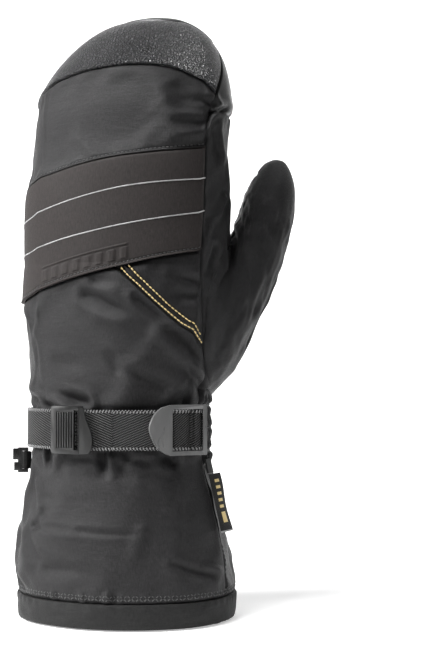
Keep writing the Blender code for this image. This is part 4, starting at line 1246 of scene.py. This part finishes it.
# The section at strap height: its left and right edges and the radius of its sides, as in SECTIONS.
WRIST_LEFT, WRIST_RIGHT, WRIST_RADIUS = -50.7, 45.0, 29.0
WRIST_MIDDLE, WRIST_HALF = (WRIST_RIGHT + WRIST_LEFT) / 2, (WRIST_RIGHT - WRIST_LEFT) / 2 - WRIST_RADIUS


def wide_arc():
    """Centre and radius of the arc across the back at strap height."""
    centre = np.array([WRIST_MIDDLE, WRIST_HALF / math.tan(BACK)])
    return centre, WRIST_RADIUS + WRIST_HALF / math.sin(BACK)


def on_arc(points, angle):
    """Bends (t, n, h) round the back arc, with t measured from this angle and n outward from the shell."""
    centre, radius = wide_arc()
    turn = np.radians(-90 + angle) + points[:, 0] / radius
    reach = radius + points[:, 1]
    x, y = centre[0] + reach * np.cos(turn), centre[1] + reach * np.sin(turn)
    return np.stack([x, y, STRAP_MID + points[:, 2]], 1)


KEEPER_ANGLE = -14.0


def build_keeper():
    """The sliding keeper: a ribbed frame with a slot beside it and a thumb tab that widens downwards."""
    half = 12.2
    outline = (
        (-10.6, -half + 1.2), (-9.9, -half + 0.2), (-8.6, -half), (4.9, -half), (4.9, half), (-9.2, half),
        (-10.3, half - 0.4), (-10.6, half - 1.4),
    )
    tab = (
        (4.7, 11.9), (7.2, 11.4), (7.6, 9.0), (8.4, 5.6), (9.7, 2.4), (11.0, -1.0), (11.6, -5.0),
        (11.2, -9.0), (9.8, -11.9), (4.7, -half),
    )
    shapes = [prism_mesh(outline, 0.4, 5.9), prism_mesh(tab, 4.3, 5.6)]
    cuts = [box_mesh(-13, 6, 1.15, 4.5, -10.4, 10.4), box_mesh(2.2, 4.5, 4.0, 8.0, -10.2, 10.2)]
    cuts.append(box_mesh(-7.4, 1.6, 5.2, 8.0, -9.2, 9.4))

    def place(points):
        return on_arc(points, KEEPER_ANGLE)

    solid("strap_keeper", shapes, place, MAT["black_plastic"], "strap_keeper", cuts, 0.3, ["strap_keeper"])
    ribs = [box_mesh(-7.0 + i * 1.42, -7.0 + i * 1.42 + 0.75, 4.9, 5.75, -9.0, 9.2) for i in range(6)]
    for k, rib in enumerate(ribs):
        solid(f"strap_keeper_rib_{k}", [rib], place, MAT["black_plastic"], "strap_keeper", (), 0.22)
    h = np.linspace(-8.0, 8.0, 60)
    line = place(np.stack([np.full(60, 3.3), np.full(60, 5.15), h], 1))
    out = place(np.stack([np.full(60, 3.3), np.full(60, 6.15), h], 1)) - line
    stitches(
        "strap_keeper_loops", line, MAT["webbing"], out, SELVEDGE_PITCH, 1.5, 0.45, "strap_keeper",
        slant=1.0, zigzag=False,
    )


def buckle_place(points):
    """Turns (t, n, h) of the ladder lock into xyz, on the round of the thumb side."""
    turn = math.radians(-57)
    out = np.array([math.cos(turn), math.sin(turn)])
    forward = np.array([-out[1], out[0]])
    middle = np.array([WRIST_MIDDLE + WRIST_HALF, 0.0]) + out * (WRIST_RADIUS + 4.6)
    plan = middle + points[:, :1] * forward + points[:, 1:2] * out
    return np.concatenate([plan, STRAP_MID + points[:, 2:3]], 1)


def build_buckle():
    """The ladder lock: a satin D-shaped tab, a frame round the folded webbing and the bar it turns on."""
    edge = 14.4
    tab = (
        (-15.8, 1.2), (-15.4, -1.2), (-14.6, -3.4), (-12.9, -7.0), (-9.6, -10.5), (-7.0, -12.0),
        (-4.0, -12.9), (-3.4, -12.9), (-3.4, 12.9), (-4.3, 12.9), (-9.1, 11.6), (-12.45, 9.0), (-14.2, 6.2),
        (-15.4, 3.4),
    )
    shapes = [
        prism_mesh(tab, -0.6, 1.5),
        box_mesh(-4.2, edge + 1.1, -1.1, 1.5, 10.7, 12.9),
        box_mesh(-4.2, edge + 1.1, -1.1, 1.5, -12.9, -10.7),
        box_mesh(edge - 1.0, edge + 1.2, 0.9, 1.75, -12.5, 12.5),
        rod_mesh(edge, -0.5, 0.7, -12.5, 12.5),
        rod_mesh(6.9, -1.2, 0.7, -12.0, 12.0),
    ]
    solid("ladder_lock", shapes, buckle_place, MAT["grey_plastic"], "ladder_lock", (), 0.35, ["ladder_lock"])
    folds = (
        (-5.4, -2.6), (-3.3, -1.0), (-2.2, 0.3), (-0.4, 0.95), (2.2, 1.1), (4.6, 0.9), (6.0, 0.1),
        (6.5, -0.3), (7.2, 0.25), (7.9, 0.1), (8.3, -0.35), (9.2, 0.55), (10.8, 0.8), (12.0, 0.45),
        (12.9, -0.7),
    )
    path = buckle_path(folds, 110)
    strap_strip("webbing_folds", path, MAT["webbing_folded"], 10.0, 1.2, "ladder_lock", "webbing_folds")
    selvedge("webbing_fold_edge", path, 9.6, 1.2, "ladder_lock")
    loop = (
        (2.6, -5.0), (1.9, -3.2), (1.35, -1.6), (1.1, -0.4), (0.5, 0.35), (-0.4, 0.4), (-1.1, -0.3),
        (-1.2, -1.4), (-0.6, -3.0), (0.6, -5.0),
    )
    path = buckle_path([(edge + t, n) for t, n in loop], 60)
    strap_strip("webbing_anchor_loop", path, MAT["webbing"], 9.7, 0.8, "mitten", "webbing_anchor_loop")


def buckle_path(points, count):
    """A smooth plan path through these (t, n) points of the buckle."""
    points = np.asarray(points, float)
    run = np.concatenate([[0], np.cumsum(np.linalg.norm(np.diff(points, axis=0), axis=1))])
    share = np.linspace(0, run[-1], count)
    t, n = (along(tuple(zip(run, points[:, c])), share) for c in range(2))
    return buckle_place(np.stack([t, n, np.zeros(count)], 1))


def strap_path(first, last, count, out):
    """The strap's plan path round the wrist between two stations, this far outside the plain shape."""
    u = np.linspace(first, last, count)
    level = np.full_like(u, STRAP_MID)
    path = base(u, level) + normals(u, level) * np.broadcast_to(out, u.shape)[:, None]
    path[:, 2] = STRAP_MID
    return path


def build_strap():
    first, last, count = 171.5, 66.5, 150
    sinks = 1.6 * step(np.linspace(first, last, count), 160, 171)
    path = strap_path(first, last, count, 2.1 - sinks)
    strap_strip("wrist_webbing", path, MAT["webbing"], 10, 1.2, "mitten", "wrist_webbing")
    selvedge("webbing_selvedge", path, 9.7, 1.2)
    path = strap_path(101, 71.5, 50, 3.6)
    strap_strip("webbing_free_end", path, MAT["webbing_turned"], 10, 1.2, "mitten", "webbing_free_end")
    selvedge("free_end_selvedge", path, 9.35, 1.2, length=1.5)


CLIP_STATION, CLIP_HEIGHT = 164.0, 82.0


def clip_place(points):
    """Turns (t, n, h) of the pairing clip into xyz: t along the cuff, n outward from its bar."""
    at = base(CLIP_STATION, CLIP_HEIGHT)
    out = base(CLIP_STATION, CLIP_HEIGHT, -1.0) - at
    out[2] = 0
    out /= np.linalg.norm(out)
    side = np.array([-out[1], out[0], 0.0])
    return at + out * 3.3 + points @ np.array([side, out, (0, 0, 1)])


def build_clip():
    """The pairing clip: a bar in the webbing tab, two arms and two rounded hooks with a gap between."""
    shapes = [
        rod_mesh(0, 0, 1.0, -6.6, 6.6),
        box_mesh(-1.2, 1.2, -1.0, 3.6, 4.9, 6.7),
        box_mesh(-1.2, 1.2, -1.0, 3.6, -6.7, -4.9),
        box_mesh(-1.2, 1.2, 2.2, 4.4, -6.7, 6.7),
        box_mesh(-1.7, 1.7, 3.4, 6.4, -5.6, -1.2),
        box_mesh(-1.7, 1.7, 3.4, 7.0, 0.2, 6.2),
    ]
    solid("pairing_clip", shapes, clip_place, MAT["dark_plastic"], "pairing_clip", (), 0.75, ["pairing_clip"])


def build_tag():
    """The woven tag: a soft strip sewn in at one edge, with plain gold bars and a pale folded end."""
    node = frame["nodes"]["woven_tag"]
    corners = np.array([(node.matrix_world @ v.co)[:] for v in node.data.vertices]) / MM - SHIFT
    order = corners[np.argsort(corners[:, 2])]
    low, high = order[: len(order) // 2], order[len(order) // 2 :]

    def ends(group):
        inner = group[:, 0] < group[:, 0].mean()
        return group[inner].mean(0), group[~inner].mean(0)

    (a, b), (c, d) = ends(high), ends(low)
    face = np.cross(b - a, c - a)
    face /= np.linalg.norm(face)
    face *= -1 if face[1] > 0 else 1

    def place(x, y, out=0.0):
        x, y = np.broadcast_arrays(np.asarray(x, float), np.asarray(y, float))
        top = a + (b - a) * x[..., None]
        base_line = c + (d - c) * x[..., None]
        curl = 0.55 * np.sin(math.pi * x) * (0.5 + 0.5 * y) + 0.5 * np.sin(2.2 * math.pi * y + 0.6) * x
        return top + (base_line - top) * y[..., None] + face * (curl + out)[..., None]

    def flat_uv(x, y):
        return np.stack([x * 10, y * 30], -1) * MM

    x, y = np.meshgrid(np.linspace(0, 1, 24), np.linspace(0, 1, 60))
    tag = grid("woven_tag", place(x, y), MAT["label"], "woven_tag", uv=flat_uv(x, y))
    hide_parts("woven_tag")
    bars = [(0.36, 0.72, 0.10 + 0.11 * i, 0.15 + 0.11 * i, "gold_thread") for i in range(5)]
    bars += [(0.36, 0.72, 0.66, 0.84, "gold_thread"), (0.0, 1.0, 0.972, 1.0, "silver")]
    for k, (x0, x1, y0, y1, key) in enumerate(bars):
        x, y = np.meshgrid(np.linspace(x0, x1, 12), np.linspace(y0, y1, 40))
        across = (x - x0) / (x1 - x0)
        rise = 0.16 * np.minimum(1, 8 * np.minimum(across, 1 - across) + 0.1)
        name = f"woven_tag_bar_{k}"
        grid(name, place(x, y, rise), MAT[key], "woven_tag", uv=flat_uv(x, y))


def finish_scene():
    """Materials for the CAD nodes that show."""
    for node, key in (("clip_tab", "webbing"), ("tag_tab", "hem")):
        part = frame["nodes"][node]
        part.data.materials.clear()
        part.data.materials.append(MAT[key])


def build_floor():
    """A pale floor that sweeps up into a wall behind the mitten."""
    floor_mesh = bpy.data.meshes.new("floor")
    verts, faces = [], []
    bend = 0.5
    profile = [(-0.3, 0.0), (0.6, 0.0)]
    profile += [(0.6 + bend * math.sin(a), bend - bend * math.cos(a)) for a in np.linspace(0.1, 1.5, 12)]
    profile.append((1.1, 3.0))
    for y, z in profile:
        verts += [(-3.0, y, z - 0.0002), (3.0, y, z - 0.0002)]
    for i in range(len(profile) - 1):
        faces.append((2 * i, 2 * i + 1, 2 * i + 3, 2 * i + 2))
    floor_mesh.from_pydata(verts, [], faces)
    floor_mesh.polygons.foreach_set("use_smooth", [True] * len(faces))
    floor = bpy.data.objects.new("floor", floor_mesh)
    bpy.context.scene.collection.objects.link(floor)
    made, tree, shader = new_material("floor")
    net = Net(tree)
    tint = net.ramp(net.noise(3, 2), [(0.3, grey(0.86)), (0.7, grey(0.9))])
    tree.links.new(tint, shader.inputs["Base Color"])
    shader.inputs["Roughness"].default_value = 0.85
    shader.inputs["Emission Color"].default_value = (1, 1, 1, 1)
    shader.inputs["Emission Strength"].default_value = 0.42
    floor_mesh.materials.append(made)


def build_light():
    """Soft studio light: a pale world that lights the mitten mostly from low down, and three lamps."""
    world_made = bpy.data.worlds.new("studio")
    bpy.context.scene.world = world_made
    world_made.use_nodes = True
    sky = Net(world_made.node_tree)
    up = sky.node("ShaderNodeSeparateXYZ", {0: sky.where.outputs["Generated"]}).outputs[2]
    away = sky.math("ABSOLUTE", sky.math("ADD", up, 0.05))
    lit = sky.spread(away, 0.22, 0.5, 0.3, 0.03)
    seen = sky.node("ShaderNodeLightPath").outputs["Is Camera Ray"]
    level = sky.math("MAXIMUM", sky.math("MULTIPLY", seen, 0.93), lit)
    background = world_made.node_tree.nodes["Background"]
    background.inputs[0].default_value = (1, 1, 1, 1)
    world_made.node_tree.links.new(level, background.inputs[1])
    bpy.context.scene.view_settings.view_transform = "Standard"

    def lamp(name, place, aim, size, power):
        data = bpy.data.lights.new(name, "AREA")
        data.shape = "RECTANGLE"
        data.size, data.size_y = size
        data.energy = power
        made = bpy.data.objects.new(name, data)
        bpy.context.scene.collection.objects.link(made)
        made.location = place
        made.rotation_euler = (Vector(aim) - Vector(place)).to_track_quat("-Z", "Y").to_euler()

    lamp("key_left", (-1.0, -0.5, 0.75), (0, 0, 0.17), (0.3, 0.7), 30)
    lamp("fill_right", (1.0, -1.2, 0.35), (0, 0, 0.16), (0.3, 0.8), 1.2)
    lamp("top", (-0.25, -0.35, 1.05), (0, 0, 0.28), (0.4, 0.3), 15)


# Azimuth in degrees. The rest is in metres: the camera's distance and height, how far its aim lies to
# the side of the thumb's pivot and above the floor, and how much it takes in from bottom to top.
CAMERA = {"azimuth": 9.76, "distance": 0.6815, "eye": 0.1369, "aside": 0.0511, "aim": 0.1547, "tall": 0.3503}


def build_camera():
    data = bpy.data.cameras.new("camera")
    camera = bpy.data.objects.new("camera", data)
    bpy.context.scene.collection.objects.link(camera)
    bpy.context.scene.camera = camera
    azimuth, distance, eye = math.radians(CAMERA["azimuth"]), CAMERA["distance"], CAMERA["eye"]
    aside = CAMERA["aside"]
    right = np.array([math.cos(azimuth), math.sin(azimuth), 0])
    toward = np.array([-math.sin(azimuth), math.cos(azimuth), 0])
    centre = SHIFT * MM * np.array([1, 1, 0]) + right * aside + np.array([0, 0, CAMERA["aim"]])
    place = centre - toward * distance
    place[2] = eye
    camera.location = place
    camera.rotation_euler = Vector(centre - place).to_track_quat("-Z", "Y").to_euler()
    data.sensor_fit = "AUTO"
    data.sensor_width = 36
    data.lens = 18 / (0.5 * CAMERA["tall"] / distance)
    data.clip_start = 0.01


simulate()
build_shell()
build_hem()
build_inner_layers()
build_stitching()
build_piping()
build_thumb()
build_strap()
build_keeper()
build_buckle()
build_clip()
build_tag()
finish_scene()
build_floor()
build_light()
build_camera()
